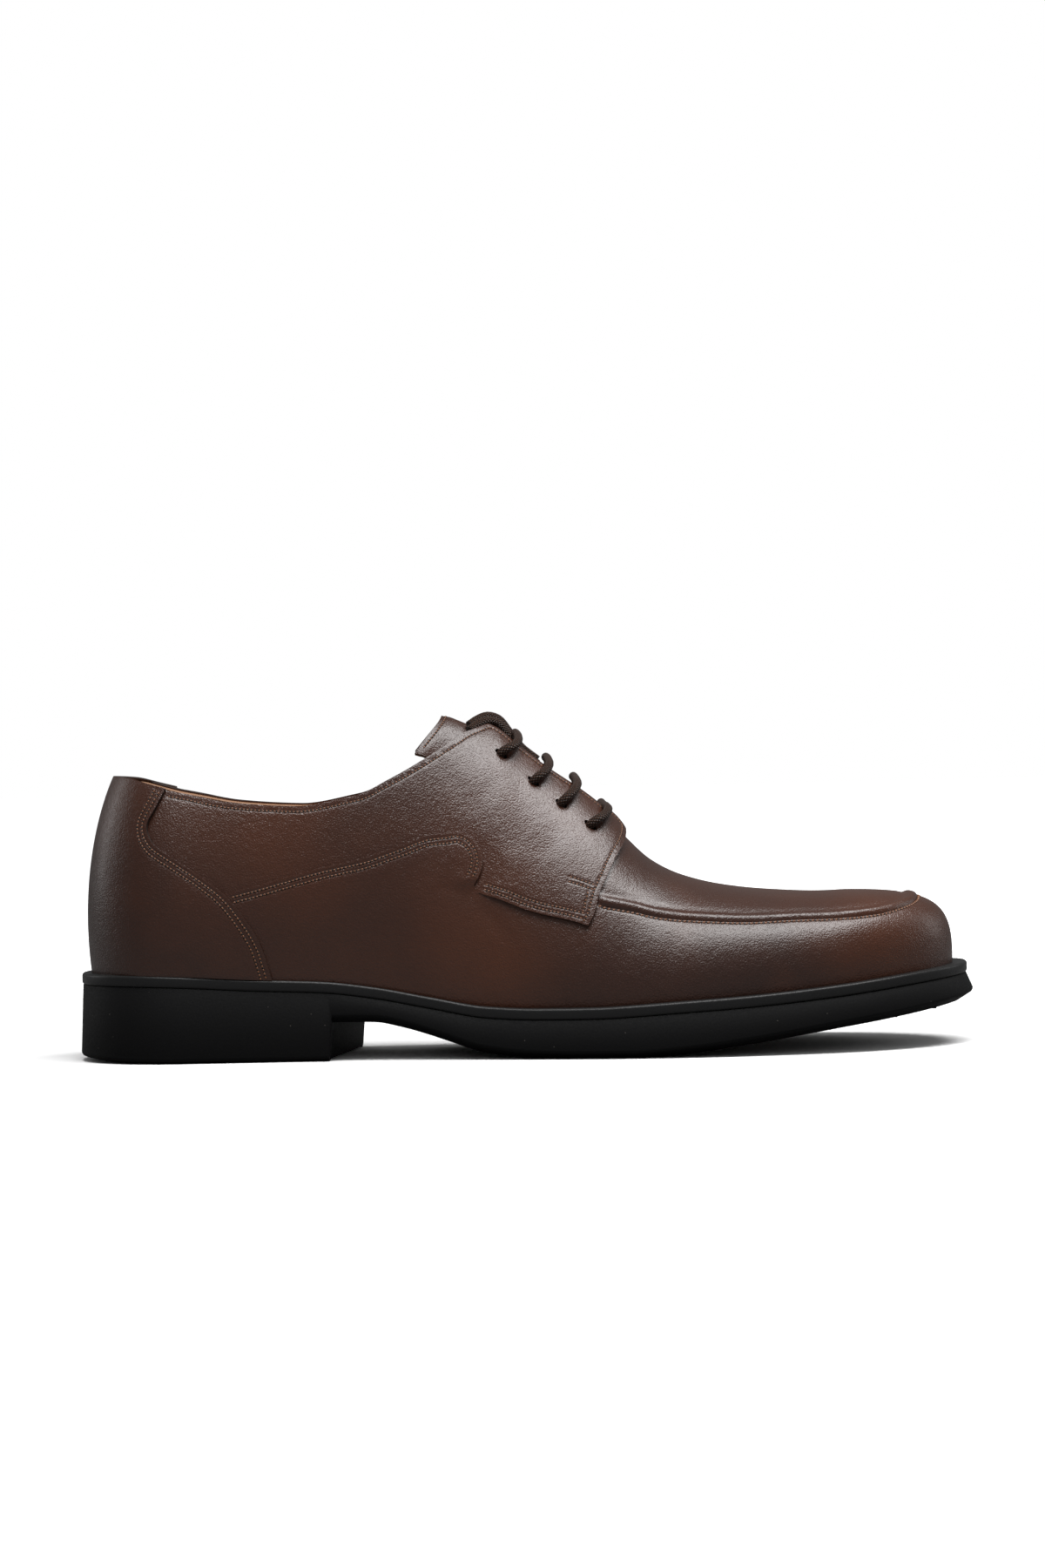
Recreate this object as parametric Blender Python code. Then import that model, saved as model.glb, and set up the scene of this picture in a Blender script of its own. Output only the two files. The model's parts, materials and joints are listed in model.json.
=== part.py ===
"""A men's apron toe derby, right shoe, standing on its sole.

The toe points along +X, the outer side of the foot is -Y and the floor is z = 0.
Every piece is worked out from one last: a rounded form over the sole's outline.
"""

import bisect
import math
from collections import namedtuple

import bmesh
import bpy
from mathutils import Vector

MM = 0.001

# Driving sizes
LENGTH = 305.4 * MM  # heel to toe, over the sole's bottom edge
BALL_WIDTH = 106.6 * MM  # across the ball, over the sole's bottom edge
SEAT_HEIGHT = 29.9 * MM  # floor to the top of the midsole, under the heel
INSTEP_RISE = 94.5 * MM  # midsole to the last's crest, at the top of the facings
BACK_RISE = 66.2 * MM  # midsole to the topline, at the back of the heel

# Sole
MIDSOLE_THICKNESS = 3.8 * MM
SOLE_FLARE_TOE = 1.9 * MM  # how far the sole's side leans out towards the floor
SOLE_FLARE_HEEL = 0.7 * MM
LEDGE_TOE = 4.9 * MM  # the midsole stands this far out past the upper
LEDGE_BACK = 4.8 * MM
LEDGE_HEEL = 1.9 * MM
TREAD_INSET = 4.5 * MM
TREAD_DEPTH = 1.6 * MM
EDGE_ROUND = 1.2 * MM
HEEL_BREAST = 86.0 * MM  # heel block's length, from the back
BREAST_SLANT = 9.0 * MM  # the inner side of the heel block is this much longer
BREAST_RAKE = 1.2 * MM
INSOLE_THICKNESS = 3.2 * MM

# Upper
LINING_WALL = 1.6 * MM
LEATHER = 1.2 * MM
OVERLAP_STEP = 1.3 * MM  # one leather piece stands this far over its neighbour
COUNTER_STEP = 1.5 * MM
APRON_BEAD = 1.3 * MM  # height of the raised seam round the apron
APRON_BEAD_WIDTH = 4.4 * MM
FACING_LIFT = 1.8 * MM  # the front corner of the facing stands off the vamp
THROAT_GAP = 13.0 * MM
THROAT_FRONT = 0.591 * LENGTH
FACING_TOP = 0.4797 * LENGTH
FACING_FRONT = 0.6064 * LENGTH
TAB_GAP = 17.0 * MM  # between the two tabs at their front
TONGUE_WALL = 1.8 * MM
TONGUE_TOP = 0.4165 * LENGTH
TONGUE_SWEEP = 0.0327 * LENGTH  # the tongue's sides start this much further back
TONGUE_FRONT = 0.609 * LENGTH
TONGUE_SINK = 3.6 * MM  # its free sides hang this much lower than the facings
LACE = 3.1 * MM
BAR_LEAN = 5.0 * MM  # the middle of a lace bar lies this far in front of its ends

# Fits
GAP = 0.3 * MM
PANEL_GAP = 0.6 * MM
SEAM_GAP = 0.35 * MM

# Resolution
RIBS = 38
LEVELS = 9

HEEL_FAN = 0.111 * LENGTH  # ribs turn about this place at the heel
TOE_FAN = 0.858 * LENGTH  # and about this one at the toe

# The sole's bottom edge. Half widths are shares of the ball's width and are
# rounded off at both ends by the caps below.
Outline = namedtuple("Outline", "at outer inner crest")
OUTLINE = [
    Outline(0.00, 0.318, 0.304, 0.000),
    Outline(0.12, 0.330, 0.316, 0.000),
    Outline(0.22, 0.335, 0.314, 0.000),
    Outline(0.32, 0.345, 0.302, 0.006),
    Outline(0.42, 0.386, 0.310, 0.014),
    Outline(0.52, 0.448, 0.362, 0.020),
    Outline(0.62, 0.496, 0.440, 0.020),
    Outline(0.70, 0.508, 0.488, 0.022),
    Outline(0.78, 0.488, 0.500, 0.026),
    Outline(0.86, 0.440, 0.480, 0.030),
    Outline(0.94, 0.378, 0.440, 0.034),
    Outline(1.00, 0.340, 0.405, 0.036),
]
HEEL_CAP = 0.125 * LENGTH
HEEL_CAP_POWER = 2.25
TOE_CAP = 0.165 * LENGTH
TOE_CAP_POWER = 2.3

# Heights of the sole, as shares of the seat height.
Sole = namedtuple("Sole", "at ledge tread")
SOLE = [
    Sole(0.000, 1.000, 0.040),
    Sole(0.050, 0.998, 0.012),
    Sole(0.110, 0.982, 0.000),
    Sole(0.200, 0.928, 0.000),
    Sole(0.275, 0.895, 0.000),
    Sole(0.333, 0.820, 0.000),
    Sole(0.394, 0.700, 0.000),
    Sole(0.458, 0.585, 0.040),
    Sole(0.512, 0.562, 0.010),
    Sole(0.540, 0.562, 0.000),
    Sole(0.579, 0.567, 0.000),
    Sole(0.612, 0.584, 0.000),
    Sole(0.664, 0.618, 0.036),
    Sole(0.749, 0.673, 0.140),
    Sole(0.835, 0.752, 0.270),
    Sole(0.924, 0.854, 0.398),
    Sole(1.000, 0.935, 0.520),
]
# The underside between the heel block and the ball.
WAIST = [
    Sole(0.255, 0.0, 0.425),
    Sole(0.285, 0.0, 0.432),
    Sole(0.332, 0.0, 0.425),
    Sole(0.362, 0.0, 0.365),
    Sole(0.386, 0.0, 0.295),
    Sole(0.414, 0.0, 0.200),
    Sole(0.448, 0.0, 0.085),
    Sole(0.494, 0.0, 0.020),
    Sole(0.540, 0.0, 0.000),
]

# The last, by the place of a rib's foot. rise is a share of the instep rise,
# swell a share of the ball's width, lower and upper are the pulls of the rib's
# two handles, and top is the topline's height as a share of the back rise.
Rib = namedtuple("Rib", "at rise swell lower upper top")
RIBS_OF_LAST = [
    Rib(0.000, 0.900, 0.049, 0.53, 0.60, 1.000),
    Rib(0.040, 0.900, 0.048, 0.52, 0.61, 0.990),
    Rib(0.085, 0.900, 0.046, 0.50, 0.66, 0.958),
    Rib(0.130, 0.915, 0.046, 0.50, 0.70, 0.925),
    Rib(0.178, 0.950, 0.048, 0.50, 0.74, 0.894),
    Rib(0.247, 1.010, 0.052, 0.50, 0.76, 0.884),
    Rib(0.316, 1.070, 0.052, 0.50, 0.72, 0.962),
    Rib(0.350, 1.090, 0.050, 0.50, 0.67, 1.062),
    Rib(0.382, 1.085, 0.048, 0.50, 0.61, 1.173),
    Rib(0.412, 1.060, 0.046, 0.50, 0.56, 1.284),
    Rib(0.442, 1.036, 0.044, 0.50, 0.52, 1.390),
    Rib(0.468, 1.010, 0.042, 0.50, 0.49, 1.427),
    Rib(0.497, 0.935, 0.040, 0.50, 0.47, 1.400),
    Rib(0.526, 0.862, 0.038, 0.50, 0.46, 1.300),
    Rib(0.556, 0.790, 0.036, 0.51, 0.46, 1.200),
    Rib(0.589, 0.680, 0.033, 0.53, 0.47, 1.100),
    Rib(0.616, 0.572, 0.031, 0.56, 0.51, 1.000),
    Rib(0.643, 0.486, 0.029, 0.60, 0.56, 1.000),
    Rib(0.674, 0.428, 0.028, 0.64, 0.62, 1.000),
    Rib(0.719, 0.380, 0.026, 0.69, 0.70, 1.000),
    Rib(0.780, 0.341, 0.022, 0.72, 0.76, 1.000),
    Rib(0.841, 0.314, 0.018, 0.74, 0.80, 1.000),
    Rib(0.920, 0.300, 0.012, 0.78, 0.85, 1.000),
    Rib(1.000, 0.290, 0.006, 0.80, 0.89, 1.000),
]

# Seams of the upper. at is a share of the length; rise is the height above the
# midsole as a share of the instep rise.
Seam = namedtuple("Seam", "at rise")
# Lower edge of the quarter: over the wing of the vamp, round its hook, and
# forward along the facing's tab to the tab's lower corner.
QUARTER_EDGE = [
    Seam(0.1725, 0.304),
    Seam(0.2424, 0.371),
    Seam(0.3223, 0.453),
    Seam(0.3541, 0.505),
    Seam(0.3900, 0.569),
    Seam(0.4254, 0.601),
    Seam(0.4375, 0.589),
    Seam(0.4468, 0.556),
    Seam(0.4505, 0.513),
    Seam(0.4520, 0.440),
    Seam(0.4535, 0.390),
    Seam(0.4813, 0.359),
    Seam(0.5094, 0.333),
    Seam(0.5374, 0.311),
    Seam(0.5642, 0.283),
]
# Front edge of the tab, from its lower corner up to the facing.
TAB_FRONT = [
    Seam(0.5642, 0.283),
    Seam(0.5708, 0.321),
    Seam(0.5775, 0.391),
    Seam(0.5870, 0.453),
    Seam(0.5976, 0.517),
    Seam(0.6035, 0.550),
    Seam(0.6064, 0.576),
]
APRON_SEAM = [
    Seam(0.5550, 0.392),
    Seam(0.5789, 0.362),
    Seam(0.6223, 0.323),
    Seam(0.6821, 0.281),
    Seam(0.7443, 0.259),
    Seam(0.8055, 0.247),
    Seam(0.8713, 0.231),
    Seam(0.9114, 0.227),
    Seam(0.9484, 0.233),
    Seam(1.0000, 0.248),
]
EYELETS = [
    Seam(0.4738, 0.882),
    Seam(0.5082, 0.791),
    Seam(0.5384, 0.707),
    Seam(0.5686, 0.624),
]
# Front edge of the heel counter, as the place of a rib against the height as a
# share of the way from midsole to topline.
CounterEdge = namedtuple("CounterEdge", "up at")
COUNTER_EDGE = [
    CounterEdge(0.000, 0.2225),
    CounterEdge(0.200, 0.2088),
    CounterEdge(0.336, 0.1934),
    CounterEdge(0.464, 0.1725),
    CounterEdge(0.556, 0.1461),
    CounterEdge(0.641, 0.1141),
    CounterEdge(0.714, 0.0875),
    CounterEdge(0.778, 0.0806),
    CounterEdge(0.894, 0.0918),
    CounterEdge(1.000, 0.1055),
]
COUNTER_NOTCH = 0.778  # where the edge lies furthest back

# A lace end's way, as the place of a rib, how far up it and how far out from the
# last; apart moves the second end beside the first.
EndPoint = namedtuple("EndPoint", "at up out apart")
END_STEP = 0.38  # the second end lies this much higher, as a share of apart
LACE_END = [
    EndPoint(0.5200, 0.945, -1.9, 3.6),
    EndPoint(0.5020, 0.948, -1.8, 3.6),
    EndPoint(0.4860, 0.940, -0.4, 3.6),
    EndPoint(0.4720, 0.930, 0.8, 3.8),
    EndPoint(0.4600, 0.900, 0.6, 4.2),
    EndPoint(0.4500, 0.860, -0.8, 4.5),
    EndPoint(0.4420, 0.815, -1.9, 4.6),
]

OUTER, INNER = -1, 1


def read(table, column, at, key="at"):
    """A column of a table at any place, on a smooth curve through its rows."""
    keys = [getattr(row, key) for row in table]
    values = [getattr(row, column) for row in table]
    at = min(max(at, keys[0]), keys[-1])
    i = min(max(bisect.bisect_right(keys, at) - 1, 0), len(keys) - 2)
    chord = [
        (values[k + 1] - values[k]) / (keys[k + 1] - keys[k])
        for k in range(len(keys) - 1)
    ]

    def slope(k):
        before, after = chord[max(k - 1, 0)], chord[min(k, len(chord) - 1)]
        if before * after <= 0.0:
            return 0.0
        return 2.0 * before * after / (before + after)

    step = keys[i + 1] - keys[i]
    s = (at - keys[i]) / step
    return (
        values[i] * (1 + 2 * s) * (1 - s) ** 2
        + slope(i) * step * s * (1 - s) ** 2
        + values[i + 1] * s * s * (3 - 2 * s)
        + slope(i + 1) * step * s * s * (s - 1)
    )


def ease(value, start, end):
    """0 before start, 1 after end, and smooth between them."""
    s = min(max((value - start) / (end - start), 0.0), 1.0)
    return s * s * (3 - 2 * s)


def mix(a, b, share):
    return a + (b - a) * share


def place(u):
    """A rib's place along the length. Ribs crowd together towards both ends."""
    return LENGTH * (1 - math.cos(math.pi * u)) / 2


def rib_at(x):
    return math.acos(1 - 2 * min(max(x / LENGTH, 0.0), 1.0)) / math.pi


def cap(distance, size, power):
    if distance >= size:
        return 1.0
    return max(1 - (1 - max(distance, 0.0) / size) ** power, 0.0) ** (1 / power)


def edge_point(u, side):
    """A point of the sole's bottom edge, in plan."""
    x = place(u)
    share = x / LENGTH
    outer = read(OUTLINE, "outer", share) * BALL_WIDTH
    inner = read(OUTLINE, "inner", share) * BALL_WIDTH
    middle, half = (inner - outer) / 2, (inner + outer) / 2
    rounded = cap(x, HEEL_CAP, HEEL_CAP_POWER)
    rounded *= cap(LENGTH - x, TOE_CAP, TOE_CAP_POWER)
    return Vector((x, middle + side * half * rounded))


def edge_normal(u, side):
    """Outward direction of the sole's edge, in plan."""
    h = 0.004
    low, high = max(u - h, 0.0), min(u + h, 1.0)
    run = edge_point(high, side) - edge_point(low, side)
    if low == 0.0 and u < h / 2:
        return Vector((-1.0, 0.0))
    if high == 1.0 and u > 1 - h / 2:
        return Vector((1.0, 0.0))
    return Vector((-side * run.y, side * run.x)).normalized()


def outline_point(u, side, inset):
    return edge_point(u, side) - edge_normal(u, side) * inset


def flare(u):
    return mix(SOLE_FLARE_HEEL, SOLE_FLARE_TOE, ease(place(u), 0.25 * LENGTH, 0.5 * LENGTH))


def ledge(u):
    rear = mix(LEDGE_BACK, LEDGE_HEEL, ease(place(u), 0.0, 0.09 * LENGTH))
    return mix(rear, LEDGE_TOE, ease(place(u), 0.1 * LENGTH, 0.65 * LENGTH))


def ledge_height(x):
    return read(SOLE, "ledge", x / LENGTH) * SEAT_HEIGHT


def crest(x):
    """The last's highest line, in space."""
    y = read(OUTLINE, "crest", x / LENGTH) * BALL_WIDTH
    rise = read(RIBS_OF_LAST, "rise", x / LENGTH) * INSTEP_RISE
    return Vector((x, y, ledge_height(x) + rise))


def rib(u, side):
    """Four control points of a rib, from its foot on the midsole to the crest."""
    foot = outline_point(u, side, flare(u) + ledge(u))
    share = place(u) / LENGTH
    low = Vector((foot.x, foot.y, ledge_height(foot.x)))
    top = crest(min(max(place(u), HEEL_FAN), TOE_FAN))
    inward = Vector((top.x - low.x, top.y - low.y, 0.0))
    height = top.z - low.z
    swell = read(RIBS_OF_LAST, "swell", share) * BALL_WIDTH
    lower = read(RIBS_OF_LAST, "lower", share)
    upper = read(RIBS_OF_LAST, "upper", share)
    first = low - inward.normalized() * swell + Vector((0, 0, height * lower))
    second = low + inward * (1 - upper) + Vector((0, 0, height))
    return low, first, second, top


def on_rib(points, t):
    a, b, c, d = points
    s = 1 - t
    return a * s**3 + b * (3 * s * s * t) + c * (3 * s * t * t) + d * t**3


def reach(points, height):
    """How far up a rib a height above the floor is, from 0 at the foot to 1."""
    low, high = 0.0, 1.0
    for _ in range(32):
        middle = (low + high) / 2
        if on_rib(points, middle).z < height:
            low = middle
        else:
            high = middle
    return (low + high) / 2


def last(u, side, t):
    return on_rib(rib(u, side), t)


def last_normal(u, side, t):
    """Outward direction of the last's surface."""
    if t > 0.995:
        x = min(max(place(u), HEEL_FAN), TOE_FAN)
        run = crest(x + MM) - crest(x - MM)
        return Vector((-run.z, 0.0, run.x)).normalized()
    h = 0.003
    if u < h / 2:
        along = last(h, side, t) - last(h, -side, t)
    elif u > 1 - h / 2:
        along = last(1 - h, -side, t) - last(1 - h, side, t)
    else:
        along = last(min(u + h, 1.0), side, t) - last(max(u - h, 0.0), side, t)
    up = last(u, side, min(t + h, 1.0)) - last(u, side, max(t - h, 0.0))
    out = along.cross(up).normalized() * -side
    out.z *= ease(t, -0.01, 0.10)
    return out.normalized()


def skin(u, side, t, out):
    """A point at a distance out from the last."""
    return last(u, side, t) + last_normal(u, side, t) * out


def throat_half(x):
    """Half the width of the opening between the facings."""
    half = THROAT_GAP / 2
    if x >= THROAT_FRONT:
        return 0.0
    if x > THROAT_FRONT - half:
        return math.sqrt(half**2 - (x - THROAT_FRONT + half) ** 2)
    return half


def top_edge(u, side):
    """How far up its rib the topline, or the edge of the facing, lies."""
    points = rib(u, side)
    x = place(u)
    if x >= THROAT_FRONT:
        return 1.0
    if x >= FACING_TOP:
        return across(points, throat_half(x), side)
    top = read(RIBS_OF_LAST, "top", place(u) / LENGTH) * BACK_RISE
    by_height = reach(points, points[0].z + top)
    if x < FACING_TOP - 25 * MM:
        return by_height
    return min(by_height, across(points, THROAT_GAP / 2, side))


def across(points, half, side):
    """How far up a rib it comes within a half width of the crest's line."""
    low, high = 0.3, 1.0
    for _ in range(32):
        middle = (low + high) / 2
        if side * (on_rib(points, middle).y - points[3].y) > half:
            low = middle
        else:
            high = middle
    return (low + high) / 2


def seam_reach(u, side, table):
    """How far up its rib a seam lies, from the seam's height."""
    points = rib(u, side)
    rise = read(table, "rise", place(u) / LENGTH) * INSTEP_RISE
    return reach(points, points[0].z + rise)


def ribs_between(start, end, extra=()):
    """Ribs of the common spacing between two places, with the ends and extras."""
    low, high = rib_at(start), rib_at(end)
    own = [k / RIBS for k in range(RIBS + 1)]
    wanted = [low, high] + [rib_at(x) for x in extra]
    kept = [u for u in own if low < u < high and all(abs(u - w) > 0.3 / RIBS for w in wanted)]
    return sorted(set(wanted + kept))


def material(name, colour, roughness, metallic=0.0):
    made = bpy.data.materials.new(name)
    made.use_nodes = True
    shader = made.node_tree.nodes["Principled BSDF"]
    shader.inputs["Base Color"].default_value = (*colour, 1.0)
    shader.inputs["Roughness"].default_value = roughness
    shader.inputs["Metallic"].default_value = metallic
    return made


def add_object(name, mesh, finish, collection):
    made = bpy.data.objects.new(name, mesh)
    mesh.materials.append(finish)
    collection.objects.link(made)
    return made


def mesh_of(name, points, faces):
    """A mesh with its doubles merged, its faces pointing out and smooth shading."""
    work = bmesh.new()
    vertices = [work.verts.new(p) for p in points]
    for face in faces:
        corners = list(dict.fromkeys(face))
        if len(corners) > 2:
            work.faces.new([vertices[k] for k in corners])
    bmesh.ops.remove_doubles(work, verts=work.verts, dist=0.02 * MM)
    bmesh.ops.dissolve_degenerate(work, edges=work.edges, dist=0.01 * MM)
    bmesh.ops.recalc_face_normals(work, faces=work.faces)
    made = bpy.data.meshes.new(name)
    work.to_mesh(made)
    work.free()
    made.shade_smooth()
    made.set_sharp_from_angle(angle=math.radians(35))
    return made


def strip(rows, first=0, closed=False):
    """Quads between neighbouring rows of equal length."""
    width = len(rows[0])
    faces = []
    for j in range(len(rows) - 1 + (1 if closed else 0)):
        for i in range(width - 1):
            a = first + j * width + i
            b = first + ((j + 1) % len(rows)) * width + i
            faces.append((a, a + 1, b + 1, b))
    return faces


def sheet_between(name, outer, inner, collection, finish):
    """A closed wall between two sheets of points of the same layout."""
    rows, width = len(outer), len(outer[0])
    count = rows * width
    points = [p for row in outer for p in row] + [p for row in inner for p in row]
    faces = strip(outer) + [tuple(reversed(f)) for f in strip(inner, count)]
    rim = [j * width for j in range(rows)]
    rim += [(rows - 1) * width + i for i in range(1, width)]
    rim += [j * width + width - 1 for j in range(rows - 2, -1, -1)]
    rim += [i for i in range(width - 2, 0, -1)]
    for a, b in zip(rim, rim[1:] + rim[:1]):
        faces.append((a, b, b + count, a + count))
    return add_object(name, mesh_of(name, points, faces), finish, collection)


def ring(inset, height, slant=0.0):
    """A loop of points round the shoe, inset in plan and at a height.

    A slant moves the inner side's points forward near the heel block's front.
    """
    def point(u, side):
        flat = outline_point(u, side, inset(u))
        if side == INNER:
            flat.x += slant * math.exp(-(((place(u) - HEEL_BREAST) / (24 * MM)) ** 2))
        return Vector((flat.x, flat.y, height(u, side, flat)))

    stations = sole_stations()
    outer = [point(u, OUTER) for u in stations]
    inner = [point(u, INNER) for u in reversed(stations[1:-1])]
    return outer + inner


def sole_stations():
    """Ribs for the sole, with a close pair at the heel block's front face."""
    own = [k / RIBS for k in range(RIBS + 1)]
    pair = [rib_at(HEEL_BREAST), rib_at(HEEL_BREAST + BREAST_RAKE)]
    near = 0.4 / RIBS
    return sorted([u for u in own if all(abs(u - p) > near for p in pair)] + pair)


def stack(name, rings, collection, finish):
    """A closed solid from loops of points, one above another."""
    size = len(rings[0])
    points = [p for loop in rings for p in loop]
    faces = []
    for j in range(len(rings) - 1):
        for i in range(size):
            a, b = j * size + i, j * size + (i + 1) % size
            faces.append((a, b, b + size, a + size))
    for first in (0, (len(rings) - 1) * size):
        for i in range(size // 2):
            left, right = first + i, first + (size - i) % size
            faces.append((left, left + 1, first + size - i - 1, right))
    return add_object(name, mesh_of(name, points, faces), finish, collection)


def tread_height(u, side, flat):
    """Height of the sole's underside: heel block, waist, then the ball and toe."""
    share = flat.x / LENGTH
    if place(u) <= HEEL_BREAST + 0.01 * MM or share > WAIST[-1].at:
        return read(SOLE, "tread", share) * SEAT_HEIGHT
    return read(WAIST, "tread", share) * SEAT_HEIGHT


def tread_edge(u, side, flat):
    """Height of the sole's lower corner, which is bevelled more at the forepart."""
    bevel = 0.35 if place(u) <= HEEL_BREAST + 0.01 * MM else 1.0
    return tread_height(u, side, flat) + TREAD_DEPTH * bevel


def build_sole(collection, rubber, band):
    """The moulded outsole with its heel block, and the midsole over it."""
    def under_midsole(u, side, flat):
        return ledge_height(flat.x) - MIDSOLE_THICKNESS - GAP

    def rounded_edge(u, side, flat):
        return tread_edge(u, side, flat) + EDGE_ROUND

    loops = [
        ring(lambda u: flare(u) + 0.3 * MM, under_midsole, BREAST_SLANT),
        ring(lambda u: 0.0, rounded_edge, BREAST_SLANT),
        ring(lambda u: EDGE_ROUND, tread_edge, BREAST_SLANT),
        ring(lambda u: TREAD_INSET, tread_height, BREAST_SLANT),
    ]
    stack("outsole", loops, collection, rubber)
    corner = 0.7 * MM

    def band_loop(inset, drop):
        return ring(lambda u: flare(u) + inset, lambda u, side, flat: ledge_height(flat.x) - drop)

    loops = [
        band_loop(corner, 0.0),
        band_loop(0.0, corner),
        band_loop(0.0, MIDSOLE_THICKNESS - corner),
        band_loop(corner, MIDSOLE_THICKNESS),
    ]
    stack("midsole", loops, collection, band)


def build_insole(collection, finish):
    """The footbed, which lies on the midsole inside the upper."""
    def inside(u):
        return flare(u) + ledge(u) + LEATHER + PANEL_GAP + LINING_WALL + 1.2 * MM

    def top(u, side, flat):
        return ledge_height(flat.x) + GAP + INSOLE_THICKNESS

    def bottom(u, side, flat):
        return ledge_height(flat.x) + GAP

    loops = [ring(inside, top), ring(inside, bottom)]
    stack("insole", loops, collection, finish)


def lining_out(u):
    """The lining's outer face keeps further off under the hollow of the instep."""
    share = place(u) / LENGTH
    hollow = ease(share, 0.53, 0.58) * (1 - ease(share, 0.66, 0.73))
    return -(LEATHER + PANEL_GAP + 0.5 * MM * hollow)


def build_upper(collection, finish):
    """The hollow upper: lining and stiffener, open at collar, throat and below."""
    stations = ribs_between(0.0, LENGTH, (THROAT_FRONT, THROAT_FRONT - 3 * MM, FACING_TOP))

    def column(u, side, distance):
        points = rib(u, side)
        foot = reach(points, points[0].z + GAP)
        top = top_edge(u, side)
        return [
            skin(u, side, mix(foot, top, (j / LEVELS) ** 0.9), distance)
            for j in range(LEVELS + 1)
        ]

    walk = [(u, OUTER) for u in stations]
    walk += [(u, INNER) for u in reversed(stations[:-1])]
    outer = [column(u, side, lining_out(u)) for u, side in walk]
    inner = [column(u, side, lining_out(u) - LINING_WALL) for u, side in walk]
    count = len(walk) * (LEVELS + 1)
    points = [p for row in outer for p in row] + [p for row in inner for p in row]
    faces = strip(outer) + [tuple(reversed(f)) for f in strip(inner, count)]
    width = LEVELS + 1
    for j in range(len(walk) - 1):
        low, high = j * width, j * width + LEVELS
        faces.append((low, low + width, low + width + count, low + count))
        edges_open = [top_edge(*walk[k]) < 1.0 for k in (j, j + 1)]
        if any(edges_open):
            faces.append((high, high + width, high + width + count, high + count))
    add_object("upper", mesh_of("upper", points, faces), finish, collection)


def panel(name, walk, low, high, outer, inner, rows, collection, finish, power=1.0):
    """A leather piece over the last: walk lists its ribs, low and high bound it."""
    def column(u, side, distance):
        bottom, top = low(u, side), high(u, side)
        line = []
        for j in range(rows + 1):
            t = mix(bottom, top, (j / rows) ** power)
            line.append(skin(u, side, t, distance(u, side, t)))
        return line

    return sheet_between(
        name,
        [column(u, side, outer) for u, side in walk],
        [column(u, side, inner) for u, side in walk],
        collection,
        finish,
    )


def counter_rib(up, away):
    """The rib where the counter's front edge lies, or a distance away from it."""
    return rib_at(read(COUNTER_EDGE, "at", up, key="up") * LENGTH + away)


def counter_places(upper_branch):
    """Where the counter's rows end, so that its neighbours can share the corners."""
    kept = [row for row in COUNTER_EDGE if (row.up >= COUNTER_NOTCH) == upper_branch]
    return [row.at * LENGTH + SEAM_GAP for row in kept]


def build_counter(collection, finish):
    """The heel counter, wrapped round the back over the ends of the quarters."""
    spread = 8
    rows_outer, rows_inner = [], []
    for up in [row.up for row in COUNTER_EDGE]:
        end = counter_rib(up, -SEAM_GAP)
        walk = [(end * (1 - k / spread), OUTER) for k in range(spread)]
        walk += [(end * k / spread, INNER) for k in range(spread + 1)]
        row_outer, row_inner = [], []
        for u, side in walk:
            points = rib(u, side)
            foot = reach(points, points[0].z + GAP)
            top_height = on_rib(points, top_edge(u, side)).z
            t = reach(points, mix(points[0].z, top_height, up)) if up else foot
            row_outer.append(skin(u, side, t, COUNTER_STEP))
            row_inner.append(skin(u, side, t, GAP - LEATHER))
        rows_outer.append(row_outer)
        rows_inner.append(row_inner)
    sheet_between("counter", rows_outer, rows_inner, collection, finish)


def counter_height(u, side, upper_branch):
    """Height up the rib where the counter's edge crosses it."""
    low, high = (COUNTER_NOTCH, 1.0) if upper_branch else (0.0, COUNTER_NOTCH)
    for _ in range(24):
        middle = (low + high) / 2
        behind = counter_rib(middle, SEAM_GAP) < u
        if behind != upper_branch:
            high = middle
        else:
            low = middle
    points = rib(u, side)
    top_height = on_rib(points, top_edge(u, side)).z
    return reach(points, mix(points[0].z, top_height, (low + high) / 2))


def quarter_out(u, side, t):
    """The quarter rises onto the vamp in front of the wing's hook."""
    x = place(u)
    raised = OVERLAP_STEP * ease(x, 0.40 * LENGTH, 0.49 * LENGTH)
    corner = ease(x, 0.54 * LENGTH, FACING_FRONT) * ease(t, 0.35, 0.75)
    return raised + FACING_LIFT * corner


def quarter_in(u, side, t):
    """Its inner face comes up where the vamp and apron run under it."""
    over = ease(place(u), 0.548 * LENGTH, QUARTER_EDGE[-1].at * LENGTH)
    return mix(-LEATHER, quarter_out(u, side, t) - LEATHER + GAP, over)


def vamp_out(u, side, t):
    return OVERLAP_STEP * (1 - ease(place(u), 0.41 * LENGTH, 0.49 * LENGTH))


def leather_in(u, side, t):
    return -LEATHER


def wing_places():
    """Ribs at the bends of the edge between quarter and vamp."""
    return [row.at * LENGTH for row in QUARTER_EDGE[5:11]]


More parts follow.
